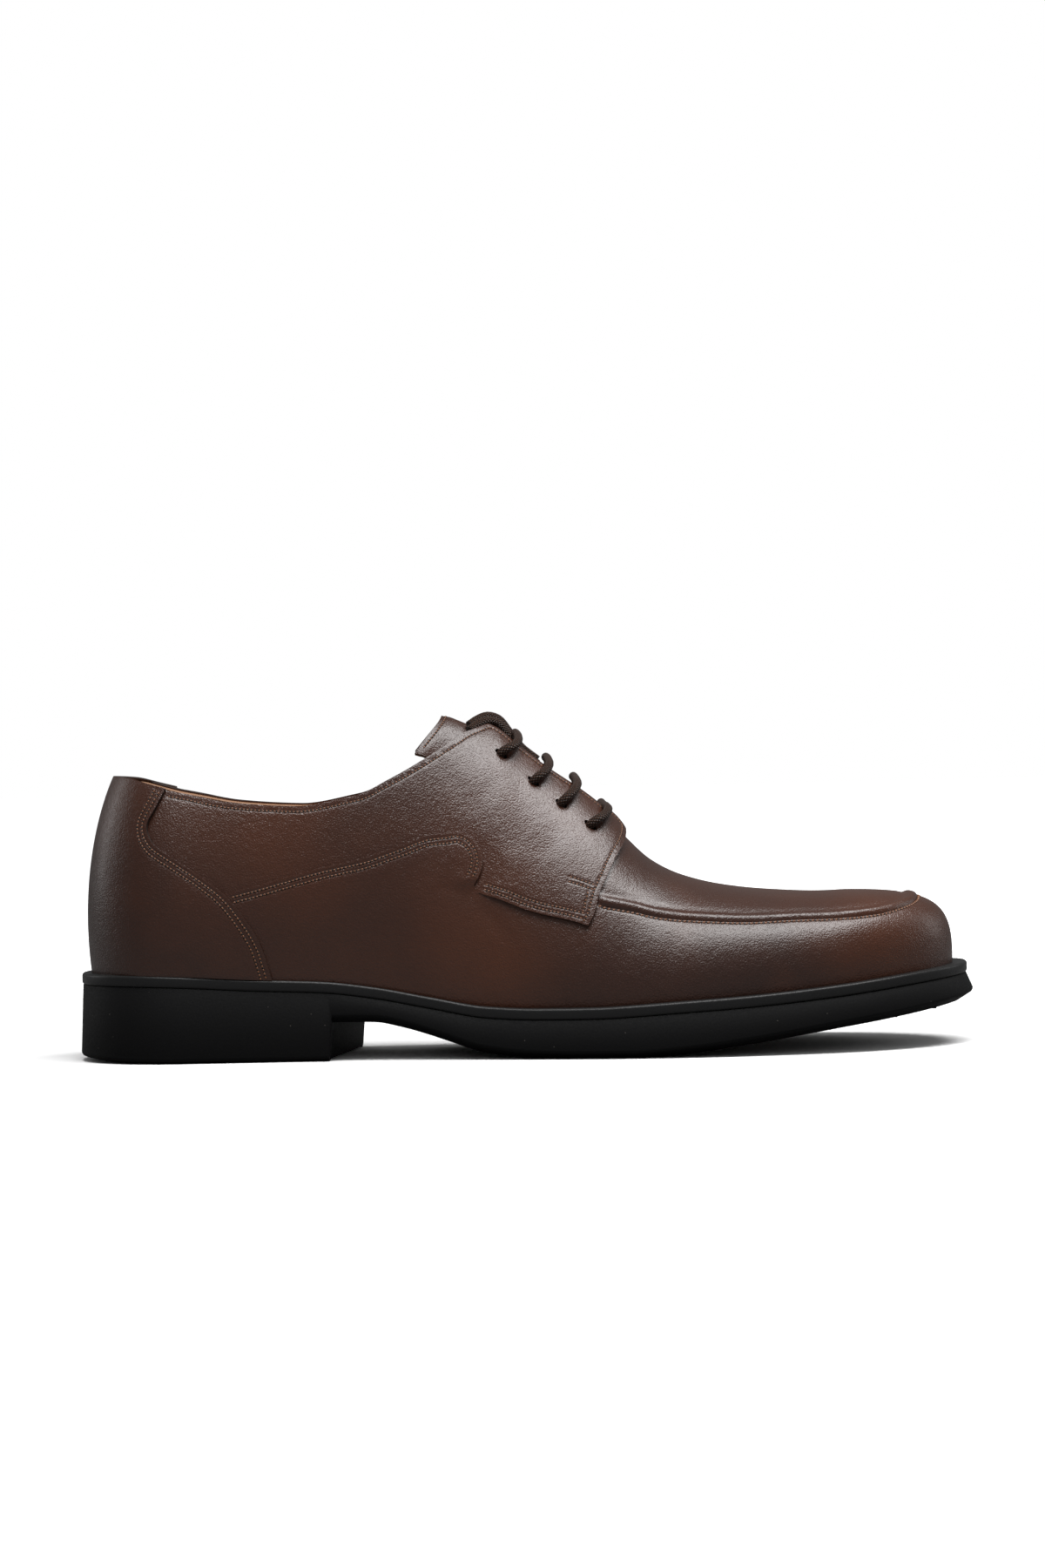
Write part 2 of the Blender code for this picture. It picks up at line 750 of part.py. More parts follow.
def build_quarter(name, side, collection, finish):
    """One side's quarter: collar, facing and the tab over the vamp."""
    gap = 0.004
    start = COUNTER_EDGE[7].at * LENGTH + 1.0 * MM
    corner = QUARTER_EDGE[-1].at * LENGTH
    joint = QUARTER_EDGE[0].at * LENGTH
    collar_end = COUNTER_EDGE[-1].at * LENGTH + SEAM_GAP
    rear = [x for x in counter_places(False) + counter_places(True) if start + MM < x < joint]
    front = [row.at * LENGTH for row in TAB_FRONT[1:6]]
    extra = [joint, corner, FACING_TOP, THROAT_FRONT] + rear + wing_places() + front
    stations = ribs_between(start, FACING_FRONT, extra)

    def low(u, side):
        x = place(u)
        if x < joint - 0.01 * MM:
            return counter_height(u, side, False) + gap
        if x <= corner + 0.01 * MM:
            return seam_reach(u, side, QUARTER_EDGE) + gap
        return seam_reach(u, side, TAB_FRONT)

    def high(u, side):
        x = place(u)
        if x < collar_end - 0.01 * MM:
            return max(counter_height(u, side, True) - gap, low(u, side) + 0.01)
        if x < FACING_TOP:
            return top_edge(u, side)
        half = mix(THROAT_GAP, TAB_GAP, ease(x, 0.565 * LENGTH, FACING_FRONT)) / 2
        return max(across(rib(u, side), half, side), low(u, side) + 0.01)

    walk = [(u, side) for u in stations]
    panel(name, walk, low, high, quarter_out, quarter_in, 6, collection, finish)


def build_vamp(collection, finish):
    """The vamp: toe wall and sides, with wings that run back over the quarters."""
    gap = 0.004
    joint = QUARTER_EDGE[0].at * LENGTH + 2 * SEAM_GAP
    corner = QUARTER_EDGE[-1].at * LENGTH
    foot_end = COUNTER_EDGE[0].at * LENGTH + SEAM_GAP
    under_tab = 0.575 * LENGTH
    rear = [x for x in counter_places(False) if joint + MM < x]
    extra = [corner, under_tab, THROAT_FRONT, THROAT_FRONT - 2.5 * MM]
    stations = ribs_between(joint, LENGTH, extra + rear + wing_places())

    def low(u, side):
        points = rib(u, side)
        if place(u) < foot_end - 0.01 * MM:
            return counter_height(u, side, False) + gap
        return reach(points, points[0].z + GAP)

    def high(u, side):
        top = mix(
            seam_reach(u, side, QUARTER_EDGE),
            seam_reach(u, side, APRON_SEAM),
            ease(place(u), corner + MM, under_tab),
        )
        return max(top - gap, low(u, side) + 0.01)

    walk = [(u, OUTER) for u in stations]
    walk += [(u, INNER) for u in reversed(stations[:-1])]
    panel("vamp", walk, low, high, vamp_out, leather_in, 6, collection, finish)


def build_apron(collection, finish):
    """The apron: the plug of the vamp, with a raised bead round its seam."""
    start = 0.575 * LENGTH
    stations = ribs_between(start, LENGTH, (THROAT_FRONT, THROAT_FRONT - 2.5 * MM))
    levels = [0.0, 0.045, 0.09, 0.135, 0.3, 0.5, 0.75, 1.0]

    def rise(u, side, share, span):
        away = share * span / APRON_BEAD_WIDTH
        if away >= 1.0:
            return 0.0
        shown = ease(place(u), 0.585 * LENGTH, 0.602 * LENGTH)
        return APRON_BEAD * shown * math.sin(math.pi * away) ** 0.8

    def column(u, side, raised):
        bottom = seam_reach(u, side, APRON_SEAM)
        top = top_edge(u, side)
        span = (last(u, side, top) - last(u, side, bottom)).length
        line = []
        for share in levels:
            out = rise(u, side, share, span) if raised else -LEATHER
            line.append(skin(u, side, mix(bottom, top, share), out))
        return line

    walk = [(u, OUTER) for u in stations]
    walk += [(u, INNER) for u in reversed(stations[:-1])]
    outer = [column(u, side, True) for u, side in walk]
    inner = [column(u, side, False) for u, side in walk]
    width, count = len(levels), len(walk) * len(levels)
    points = [p for row in outer for p in row] + [p for row in inner for p in row]
    faces = strip(outer) + [tuple(reversed(f)) for f in strip(inner, count)]
    for j in range(len(walk) - 1):
        low_edge, high_edge = j * width, j * width + width - 1
        faces.append((low_edge, low_edge + width, low_edge + width + count, low_edge + count))
        if min(top_edge(*walk[j]), top_edge(*walk[j + 1])) < 1.0:
            faces.append((high_edge, high_edge + width, high_edge + width + count, high_edge + count))
    for end in (0, (len(walk) - 1) * width):
        for i in range(width - 1):
            faces.append((end + i, end + i + 1, end + i + 1 + count, end + i + count))
    add_object("apron", mesh_of("apron", points, faces), finish, collection)


def tongue_out(u, across_share):
    """The tongue lies under the lining, and its free sides hang lower."""
    free = 1 - ease(place(u), FACING_TOP - 12 * MM, FACING_TOP + 4 * MM)
    sink = TONGUE_SINK * free * across_share**2
    sink += 0.6 * MM * ease(place(u), 0.48 * LENGTH, 0.54 * LENGTH)
    return lining_out(u) - LINING_WALL - 2 * GAP - sink


def build_tongue(collection, finish):
    """The tongue, which follows the last under both facings."""
    steps, spread = 13, 10

    def section(k, deeper):
        line = []
        for i in range(spread + 1):
            across_share = 2 * i / spread - 1
            side = OUTER if across_share < 0 else INNER
            start = TONGUE_TOP - TONGUE_SWEEP * abs(across_share) ** 1.6
            u = rib_at(mix(start, TONGUE_FRONT, k / steps))
            t = 1 - 0.36 * abs(across_share)
            line.append(skin(u, side, t, tongue_out(u, abs(across_share)) - deeper))
        return line

    outer = [section(k, 0.0) for k in range(steps + 1)]
    inner = [section(k, TONGUE_WALL) for k in range(steps + 1)]
    sheet_between("tongue", outer, inner, collection, finish)


def smooth_line(points, count):
    """Evenly spread points on a smooth curve through the given ones."""
    line = []
    for k in range(count + 1):
        at = k / count * (len(points) - 1)
        i = min(int(at), len(points) - 2)
        s = at - i
        a, b = points[i], points[i + 1]
        before = points[i - 1] if i else a * 2 - b
        after = points[i + 2] if i + 2 < len(points) else b * 2 - a
        cubic = (a - b) * 3 + after - before
        square = before * 2 - a * 5 + b * 4 - after
        line.append(a + ((b - before) * s + square * s * s + cubic * s**3) / 2)
    return line


def tube(name, points, thickness, collection, finish):
    """A round cord along a line of points."""
    curve = bpy.data.curves.new(name, "CURVE")
    curve.dimensions = "3D"
    curve.bevel_depth = thickness / 2
    curve.bevel_resolution = 2
    curve.use_fill_caps = True
    spline = curve.splines.new("POLY")
    spline.points.add(len(points) - 1)
    for spot, point in zip(spline.points, points):
        spot.co = (*point, 1.0)
    curve.materials.append(finish)
    made = bpy.data.objects.new(name, curve)
    collection.objects.link(made)
    return made


def bar_line(eyelet):
    """A lace bar, from one eyelet over the throat to the other."""
    clear = LACE / 2 + GAP

    def half(side):
        start = rib_at(eyelet.at * LENGTH)
        low = seam_reach(start, side, EYELETS)
        line = []
        for k in range(6):
            share = k / 5
            u = rib_at(eyelet.at * LENGTH + BAR_LEAN * share)
            t = mix(low, 1.0, share)
            line.append(skin(u, side, t, quarter_out(u, side, t) + clear))
        return line

    return half(OUTER)[:-1] + list(reversed(half(INNER)))


def end_line(share):
    """A lace end: up the throat, over the top of the facing and in beside the tongue."""
    line = []
    for row in LACE_END:
        u = rib_at(row.at * LENGTH)
        beside = row.apart * MM * share
        line.append(skin(u, OUTER, row.up, row.out * MM) + Vector((0, beside, beside * END_STEP)))
    return line


def build_laces(collection, finish):
    for index, eyelet in enumerate(EYELETS):
        tube(f"lace_bar_{index + 1}", bar_line(eyelet), LACE, collection, finish)
    tube("lace_end_1", smooth_line(end_line(0.0), 11), LACE, collection, finish)
    tube("lace_end_2", smooth_line(end_line(1.0), 11), LACE, collection, finish)


def clear_scene():
    for old in list(bpy.data.objects):
        bpy.data.objects.remove(old, do_unlink=True)


def centre_on_origin(collection):
    """Puts the middle of the sole's outline over the origin."""
    stations = [k / 400 for k in range(401)]
    outer = min(edge_point(u, OUTER).y for u in stations)
    inner = max(edge_point(u, INNER).y for u in stations)
    shoe = bpy.data.objects.new("shoe", None)
    collection.objects.link(shoe)
    shoe.location = (-LENGTH / 2, -(outer + inner) / 2, 0.0)
    for piece in list(collection.objects):
        if piece is not shoe:
            piece.parent = shoe


def main():
    clear_scene()
    shoe = bpy.data.collections.new("apron_toe_derby")
    bpy.context.scene.collection.children.link(shoe)
    leather = material("brown_calf", (0.075, 0.030, 0.018), 0.35)
    lining = material("tan_lining", (0.30, 0.17, 0.09), 0.6)
    rubber = material("black_rubber", (0.012, 0.012, 0.013), 0.55)
    band = material("black_band", (0.022, 0.022, 0.023), 0.4)
    cord = material("waxed_cord", (0.035, 0.020, 0.015), 0.6)
    build_sole(shoe, rubber, band)
    build_insole(shoe, lining)
    build_upper(shoe, lining)
    build_counter(shoe, leather)
    build_quarter("quarter_outer", OUTER, shoe, leather)
    build_quarter("quarter_inner", INNER, shoe, leather)
    build_vamp(shoe, leather)
    build_apron(shoe, leather)
    build_tongue(shoe, leather)
    build_laces(shoe, cord)
    centre_on_origin(shoe)


main()
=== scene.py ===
# %% [markdown]
# # An apron toe derby, dressed for the render
#
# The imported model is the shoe's frame: plain solids at their real places. This
# notebook keeps that frame and puts a finished piece in place of each solid:
# leather cut and lasted piece by piece, stitching, a waxed lace and rubber.

import json
import math

import bmesh
import bpy
import numpy as np
from mathutils import Matrix, Vector
from mathutils.bvhtree import BVHTree
from mathutils.geometry import delaunay_2d_cdt
from mathutils.kdtree import KDTree

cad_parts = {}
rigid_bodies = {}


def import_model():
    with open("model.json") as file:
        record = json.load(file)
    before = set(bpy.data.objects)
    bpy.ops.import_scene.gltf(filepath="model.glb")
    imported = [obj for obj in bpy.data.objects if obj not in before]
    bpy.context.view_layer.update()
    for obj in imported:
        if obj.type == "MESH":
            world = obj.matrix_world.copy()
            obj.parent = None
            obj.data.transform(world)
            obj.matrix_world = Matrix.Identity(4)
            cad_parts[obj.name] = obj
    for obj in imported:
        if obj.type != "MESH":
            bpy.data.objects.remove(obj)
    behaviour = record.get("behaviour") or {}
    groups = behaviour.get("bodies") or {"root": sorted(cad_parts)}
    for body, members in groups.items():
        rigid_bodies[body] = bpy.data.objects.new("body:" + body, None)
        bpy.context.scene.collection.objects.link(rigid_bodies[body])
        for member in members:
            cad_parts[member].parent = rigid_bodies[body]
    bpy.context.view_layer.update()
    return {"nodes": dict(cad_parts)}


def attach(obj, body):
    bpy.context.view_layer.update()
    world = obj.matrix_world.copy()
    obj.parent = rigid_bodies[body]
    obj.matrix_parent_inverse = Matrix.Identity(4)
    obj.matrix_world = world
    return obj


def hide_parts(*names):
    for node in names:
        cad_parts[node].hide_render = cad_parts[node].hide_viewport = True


for old in list(bpy.data.objects):
    bpy.data.objects.remove(old, do_unlink=True)
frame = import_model()
print("nodes:", sorted(frame["nodes"]))

MM = 0.001
SIDES = OUTER, INNER = -1.0, 1.0

# %% [markdown]
# ## Camera
#
# The photograph looks at the shoe's outer side from just above its topline, with a
# long lens and a slight roll. A long lens keeps the toe and the heel at the same
# scale, so the camera stands 1.5 m away.



# %% Camera
def add_to_scene(name, data):
    made = bpy.data.objects.new(name, data)
    bpy.context.scene.collection.objects.link(made)
    return made


LOOK_DOWN = 0.80
ROLL = -1.2
camera = add_to_scene("camera", bpy.data.cameras.new("camera"))
camera.data.sensor_width = 36.0
camera.data.lens = 100.6
camera.location = (-0.00015, -1.5, 0.112)
tilt = Matrix.Rotation(math.radians(90.0 - LOOK_DOWN), 4, "X")
roll = Matrix.Rotation(math.radians(ROLL), 4, "Z")
camera.rotation_euler = (tilt @ roll).to_euler()
bpy.context.scene.camera = camera
print("camera:", tuple(camera.location))

# %% [markdown]
# ## Helpers for nodes
#
# A material is a small tree of nodes, and so is the light of the room. These
# short functions add a node, link it or set its values. The floor uses them
# first, then the leather, the rubber and the cord.


# %% Node helpers
def node_material(name):
    """A new material, with its tree of nodes and its shader."""
    made = bpy.data.materials.new(name)
    made.use_nodes = True
    return made, made.node_tree, made.node_tree.nodes["Principled BSDF"]


def feed(node, values):
    """Sets a node's inputs, or links those whose value is another node's socket."""
    for key, value in values.items():
        if isinstance(value, bpy.types.NodeSocket):
            node.id_data.links.new(value, node.inputs[key])
        else:
            node.inputs[key].default_value = value


def plain_material(name, colour, roughness):
    made, _, shader = node_material(name)
    feed(shader, {"Base Color": (*colour, 1.0), "Roughness": roughness})
    return made


def new_group(name, inputs, outputs):
    """An empty node group with number inputs and number outputs."""
    made = bpy.data.node_groups.new(name, "ShaderNodeTree")
    number = "NodeSocketFloat"
    for label, value in inputs.items():
        socket = made.interface.new_socket(label, in_out="INPUT", socket_type=number)
        socket.default_value = value
    for label in outputs:
        made.interface.new_socket(label, in_out="OUTPUT", socket_type=number)
    return made, made.nodes.new("NodeGroupInput"), made.nodes.new("NodeGroupOutput")


# %% Common nodes
def add_node(tree, kind, values=None, **settings):
    """A node with its settings and its inputs' values or links."""
    made = tree.nodes.new(kind)
    for key, value in settings.items():
        setattr(made, key, value)
    feed(made, values or {})
    return made


def maths(tree, operation, a, b=0.0):
    return add_node(tree, "ShaderNodeMath", {0: a, 1: b}, operation=operation).outputs[0]


def vector_maths(tree, operation, a, b=(0.0, 0.0, 0.0)):
    return add_node(tree, "ShaderNodeVectorMath", {0: a, 1: b}, operation=operation).outputs


def stretch(tree, value, low, high, start=0.0, end=1.0, **settings):
    """Maps a value from one range to another, kept within it."""
    values = {0: value, 1: low, 2: high, 3: start, 4: end}
    return add_node(tree, "ShaderNodeMapRange", values, **settings).outputs[0]


def mix_colour(tree, share, a, b):
    """Mixes two colours or colour sockets."""
    colours = [v if isinstance(v, bpy.types.NodeSocket) else (*v, 1.0) for v in (a, b)]
    values = {0: share, 6: colours[0], 7: colours[1]}
    return add_node(tree, "ShaderNodeMix", values, data_type="RGBA").outputs[2]


def object_spot(tree):
    return add_node(tree, "ShaderNodeTexCoord").outputs["Object"]


def noise(tree, spot, scale, detail):
    values = {"Vector": spot, "Scale": scale, "Detail": detail}
    return add_node(tree, "ShaderNodeTexNoise", values).outputs["Fac"]


def bump(tree, height, distance):
    """The normal of a surface raised by up to a distance in metres."""
    values = {"Height": height, "Strength": 1.0, "Distance": distance}
    return add_node(tree, "ShaderNodeBump", values).outputs["Normal"]


print("node helpers are ready")

# %% [markdown]
# ## Floor and light
#
# The shoe stands on a plain white surface in a white room. Large soft lights give
# leather its long, quiet highlights: a wide one over the toe and instep, and a
# strip at each end. Two fill lamps that no gloss mirrors bring out its colour. The
# floor and the room look white, but throw little light back, so that the black
# sole stays black.


# %% Floor
def start_fresh():
    """Object mode, with nothing selected."""
    if bpy.context.object and bpy.context.object.mode != "OBJECT":
        bpy.ops.object.mode_set(mode="OBJECT")
    bpy.ops.object.select_all(action="DESELECT")


def pick(piece):
    start_fresh()
    piece.select_set(True)
    bpy.context.view_layer.objects.active = piece


ROOM_GREY = 0.16
PAPER_WHITE = 0.90
FADE_START, FADE_END = 0.22, 0.70
WHITE = (1.0, 1.0, 1.0, 1.0)

start_fresh()
bpy.ops.mesh.primitive_circle_add(vertices=64, radius=6.0, fill_type="NGON")
floor = bpy.context.object
floor.name = "floor"
floor_white, tree, shader = node_material("floor_white")
floor.data.materials.append(floor_white)
seen = add_node(tree, "ShaderNodeLightPath").outputs["Is Camera Ray"]
away = vector_maths(tree, "LENGTH", object_spot(tree))["Value"]
fade = stretch(tree, away, FADE_START, FADE_END, interpolation_type="SMOOTHSTEP")
feed(shader, {
    "Base Color": mix_colour(tree, seen, (ROOM_GREY,) * 3, (PAPER_WHITE,) * 3),
    "Roughness": 0.9,
    "Specular IOR Level": 0.0,
    "Emission Color": WHITE,
    "Emission Strength": maths(tree, "MULTIPLY", fade, seen),
})
print("floor faces:", len(floor.data.polygons))


# %% Lights
def softbox(name, place, aim, size, power):
    """A rectangular lamp that points at a spot."""
    data = bpy.data.lights.new(name, "AREA")
    data.shape = "RECTANGLE"
    data.size, data.size_y = size
    data.energy = power
    lamp = add_to_scene(name, data)
    lamp.location = place
    lamp.rotation_euler = (Vector(aim) - Vector(place)).to_track_quat("-Z", "Y").to_euler()
    return lamp


# name, place, spot it points at, size and power
LAMPS = [
    ("light_top", (0.20, -0.31, 1.22), (0.0, 0.0, 0.05), (1.5, 0.6), 31.0),
    ("light_heel", (-1.10, 0.45, 0.40), (-0.12, 0.0, 0.06), (0.25, 0.6), 1.3),
    ("light_toe", (1.10, 0.40, 0.45), (0.12, 0.0, 0.06), (0.25, 0.6), 1.2),
    ("fill_near", (0.0, -1.4, 0.8), (0.0, 0.0, 0.05), (1.8, 1.2), 4.2),
    ("fill_far", (0.0, 1.4, 0.8), (0.0, 0.0, 0.05), (1.8, 1.2), 4.2),
]
for lamp_row in LAMPS:
    lamp = softbox(*lamp_row)
    lamp.visible_glossy = not lamp.name.startswith("fill")
world = bpy.data.worlds.new("studio")
bpy.context.scene.world = world
world.use_nodes = True
tree = world.node_tree
seen = add_node(tree, "ShaderNodeLightPath").outputs["Is Camera Ray"]
room = stretch(tree, seen, 0.0, 1.0, ROOM_GREY, 1.0)
feed(tree.nodes["Background"], {"Color": WHITE, "Strength": room})
bpy.context.scene.view_settings.view_transform = "Standard"

# %% [markdown]
# ## The last
#
# A shoemaker pulls every piece over one last, so the pieces fit each other. The
# notebook does the same: one rounded form is worked out from a few tables, and
# any point on it is named by its place along the shoe, its side and how far up
# its rib it lies. The tables are those of the solid model, so both agree.

# %% Sizes of the last
LENGTH = 305.4 * MM
BALL_WIDTH = 106.6 * MM
SEAT_HEIGHT = 29.9 * MM
INSTEP_RISE = 94.5 * MM
BACK_RISE = 66.2 * MM
MIDSOLE_THICKNESS = 3.8 * MM
HEEL_BREAST = 86.0 * MM
BREAST_SLANT = 9.0 * MM
BREAST_RAKE = 1.2 * MM
BREAST_SPREAD = 24 * MM
HEEL_ROUND, HEEL_POWER = 0.125 * LENGTH, 2.25
TOE_ROUND, TOE_POWER = 0.165 * LENGTH, 2.3
FLARE_HEEL, FLARE_TOE = 0.7 * MM, 1.9 * MM
LEDGE_BACK, LEDGE_HEEL, LEDGE_TOE = 4.8 * MM, 1.9 * MM, 4.9 * MM
THROAT_FRONT = 0.591 * LENGTH
FACING_TOP = 0.4797 * LENGTH
FACING_FRONT = 0.6064 * LENGTH
HEEL_FAN = 0.111 * LENGTH
TOE_FAN = 0.858 * LENGTH

# place, outer half width, inner half width, middle of the crest
OUTLINE = np.array([
    (0.00, 0.318, 0.304, 0.000), (0.12, 0.330, 0.316, 0.000), (0.22, 0.335, 0.314, 0.000),
    (0.32, 0.345, 0.302, 0.006), (0.42, 0.386, 0.310, 0.014), (0.52, 0.448, 0.362, 0.020),
    (0.62, 0.496, 0.440, 0.020), (0.70, 0.508, 0.488, 0.022), (0.78, 0.488, 0.500, 0.026),
    (0.86, 0.440, 0.480, 0.030), (0.94, 0.378, 0.440, 0.034), (1.00, 0.340, 0.405, 0.036),
])
# place, top of the midsole, underside
SOLE = np.array([
    (0.000, 1.000, 0.040), (0.050, 0.998, 0.012), (0.110, 0.982, 0.000), (0.200, 0.928, 0.000),
    (0.275, 0.895, 0.000), (0.333, 0.820, 0.000), (0.394, 0.700, 0.000), (0.458, 0.585, 0.040),
    (0.512, 0.562, 0.010), (0.540, 0.562, 0.000), (0.579, 0.567, 0.000), (0.612, 0.584, 0.000),
    (0.664, 0.618, 0.036), (0.749, 0.673, 0.140), (0.835, 0.752, 0.270), (0.924, 0.854, 0.398),
    (1.000, 0.935, 0.520),
])
# place, underside of the waist
WAIST = np.array([
    (0.255, 0.425), (0.285, 0.432), (0.332, 0.425), (0.362, 0.365), (0.386, 0.295),
    (0.414, 0.200), (0.448, 0.085), (0.494, 0.020), (0.540, 0.000),
])
# place, rise of the crest, swell, lower pull, upper pull, topline
RIBS = np.array([
    (0.000, 0.900, 0.049, 0.53, 0.60, 1.000), (0.040, 0.900, 0.048, 0.52, 0.61, 0.990),
    (0.085, 0.900, 0.046, 0.50, 0.66, 0.958), (0.130, 0.915, 0.046, 0.50, 0.70, 0.925),
    (0.178, 0.950, 0.048, 0.50, 0.74, 0.894), (0.247, 1.010, 0.052, 0.50, 0.76, 0.884),
    (0.316, 1.070, 0.052, 0.50, 0.72, 0.962), (0.350, 1.090, 0.050, 0.50, 0.67, 1.062),
    (0.382, 1.085, 0.048, 0.50, 0.61, 1.173), (0.412, 1.060, 0.046, 0.50, 0.56, 1.284),
    (0.442, 1.036, 0.044, 0.50, 0.52, 1.390), (0.468, 1.010, 0.042, 0.50, 0.49, 1.427),
    (0.497, 0.935, 0.040, 0.50, 0.47, 1.400), (0.526, 0.862, 0.038, 0.50, 0.46, 1.300),
    (0.556, 0.790, 0.036, 0.51, 0.46, 1.200), (0.589, 0.680, 0.033, 0.53, 0.47, 1.100),
    (0.616, 0.572, 0.031, 0.56, 0.51, 1.000), (0.643, 0.486, 0.029, 0.60, 0.56, 1.000),
    (0.674, 0.428, 0.028, 0.64, 0.62, 1.000), (0.719, 0.380, 0.026, 0.69, 0.70, 1.000),
    (0.780, 0.341, 0.022, 0.72, 0.76, 1.000), (0.841, 0.314, 0.018, 0.74, 0.80, 1.000),
    (0.920, 0.300, 0.012, 0.78, 0.85, 1.000), (1.000, 0.290, 0.006, 0.80, 0.89, 1.000),
])


# %% Smooth curves through tables
def cubic(a, b, lead, tail, s):
    """From a to b as s goes from 0 to 1, with given slopes at both ends."""
    return (a * (1 + 2 * s) + lead * s) * (1 - s) ** 2 + (b * (3 - 2 * s) + tail * (s - 1)) * s * s


def read(keys, values, at):
    """A smooth curve through a table's rows, read at many places at once."""
    keys, values, at = np.asarray(keys), np.asarray(values), np.asarray(at, float)
    at = np.clip(at, keys[0], keys[-1])
    i = np.clip(np.searchsorted(keys, at, side="right") - 1, 0, len(keys) - 2)
    chord = np.diff(values) / np.diff(keys)
    before = np.concatenate([chord[:1], chord])
    after = np.concatenate([chord, chord[-1:]])
    same = before * after > 0.0
    slope = np.where(same, 2 * before * after / np.where(same, before + after, 1.0), 0.0)
    step = keys[i + 1] - keys[i]
    lead, tail = slope[i] * step, slope[i + 1] * step
    return cubic(values[i], values[i + 1], lead, tail, (at - keys[i]) / step)


def column(table, k, share):
    """A table's column k, read at places along the shoe from 0 to 1."""
    return read(table[:, 0], table[:, k], share)


def ease(value, start, end):
    """0 before start, 1 after end, and smooth between them."""
    s = np.clip((np.asarray(value, float) - start) / (end - start), 0.0, 1.0)
    return s * s * (3 - 2 * s)


def mix(a, b, share):
    return a + (b - a) * share


def unit(v):
    return v / np.maximum(np.linalg.norm(v, axis=-1, keepdims=True), 1e-12)


def side_of(y):
    return np.where(y < 0.0, OUTER, INNER)


def place(u):
    """A rib's place along the shoe. Ribs crowd together towards both ends."""
    return LENGTH * (1 - np.cos(np.pi * np.asarray(u, float))) / 2


def rib_at(x):
    return np.arccos(1 - 2 * np.clip(np.asarray(x, float) / LENGTH, 0.0, 1.0)) / np.pi


print("instep crest at the facings:", float(column(RIBS, 1, 0.48)) * INSTEP_RISE)


# %% Outline of the sole
def cap(distance, size, power):
    share = 1 - np.clip(distance, 0.0, size) / size
    return np.maximum(1 - share**power, 0.0) ** (1 / power)


def edge_point(u, side):
    """A point of the sole's bottom edge, in plan."""
    x = place(u)
    outer = column(OUTLINE, 1, x / LENGTH) * BALL_WIDTH
    inner = column(OUTLINE, 2, x / LENGTH) * BALL_WIDTH
    rounded = cap(x, HEEL_ROUND, HEEL_POWER) * cap(LENGTH - x, TOE_ROUND, TOE_POWER)
    y = (inner - outer) / 2 + side * (inner + outer) / 2 * rounded
    return np.stack([x, y], -1)


def edge_normal(u, side):
    """Outward direction of the sole's edge, in plan."""
    u, side = np.broadcast_arrays(np.asarray(u, float), np.asarray(side, float))
    h = 0.004
    run = edge_point(np.minimum(u + h, 1.0), side) - edge_point(np.maximum(u - h, 0.0), side)
    out = unit(np.stack([-side * run[..., 1], side * run[..., 0]], -1))
    out[u < h / 2] = (-1.0, 0.0)
    out[u > 1 - h / 2] = (1.0, 0.0)
    return out


def flare(u):
    return mix(FLARE_HEEL, FLARE_TOE, ease(place(u), 0.25 * LENGTH, 0.5 * LENGTH))


def ledge(u):
    rear = mix(LEDGE_BACK, LEDGE_HEEL, ease(place(u), 0.0, 0.09 * LENGTH))
    return mix(rear, LEDGE_TOE, ease(place(u), 0.1 * LENGTH, 0.65 * LENGTH))


def ledge_height(x):
    return column(SOLE, 1, np.asarray(x) / LENGTH) * SEAT_HEIGHT


stations = np.linspace(0.0, 1.0, 401)
MIDDLE = (edge_point(stations, OUTER)[:, 1].min() + edge_point(stations, INNER)[:, 1].max()) / 2
SHIFT = np.array([-LENGTH / 2, -MIDDLE, 0.0])
print("the last's own origin lies at", SHIFT)


# %% Ribs of the last
def crest(x):
    """The last's highest line."""
    y = column(OUTLINE, 3, x / LENGTH) * BALL_WIDTH
    rise = column(RIBS, 1, x / LENGTH) * INSTEP_RISE
    return np.stack([x, y, ledge_height(x) + rise], -1)


def rib(u, side):
    """Four control points of a rib, from its foot on the midsole to the crest."""
    u, side = np.broadcast_arrays(np.asarray(u, float), np.asarray(side, float))
    foot = edge_point(u, side) - edge_normal(u, side) * (flare(u) + ledge(u))[..., None]
    low = np.concatenate([foot, ledge_height(foot[..., 0])[..., None]], -1)
    top = crest(np.clip(place(u), HEEL_FAN, TOE_FAN))
    inward = top - low
    height = inward[..., 2:].copy()
    inward[..., 2] = 0.0
    up = np.array([0.0, 0.0, 1.0])
    share = place(u) / LENGTH
    swell = column(RIBS, 2, share)[..., None] * BALL_WIDTH
    lower = column(RIBS, 3, share)[..., None]
    upper = column(RIBS, 4, share)[..., None]
    first = low - unit(inward) * swell + up * height * lower
    second = low + inward * (1 - upper) + up * height
    return low, first, second, top


def on_rib(points, t):
    a, b, c, d = points
    t = np.asarray(t, float)[..., None]
    s = 1 - t
    return a * s**3 + b * (3 * s * s * t) + c * (3 * s * t * t) + d * t**3


def last(u, side, t):
    return on_rib(rib(u, side), t)


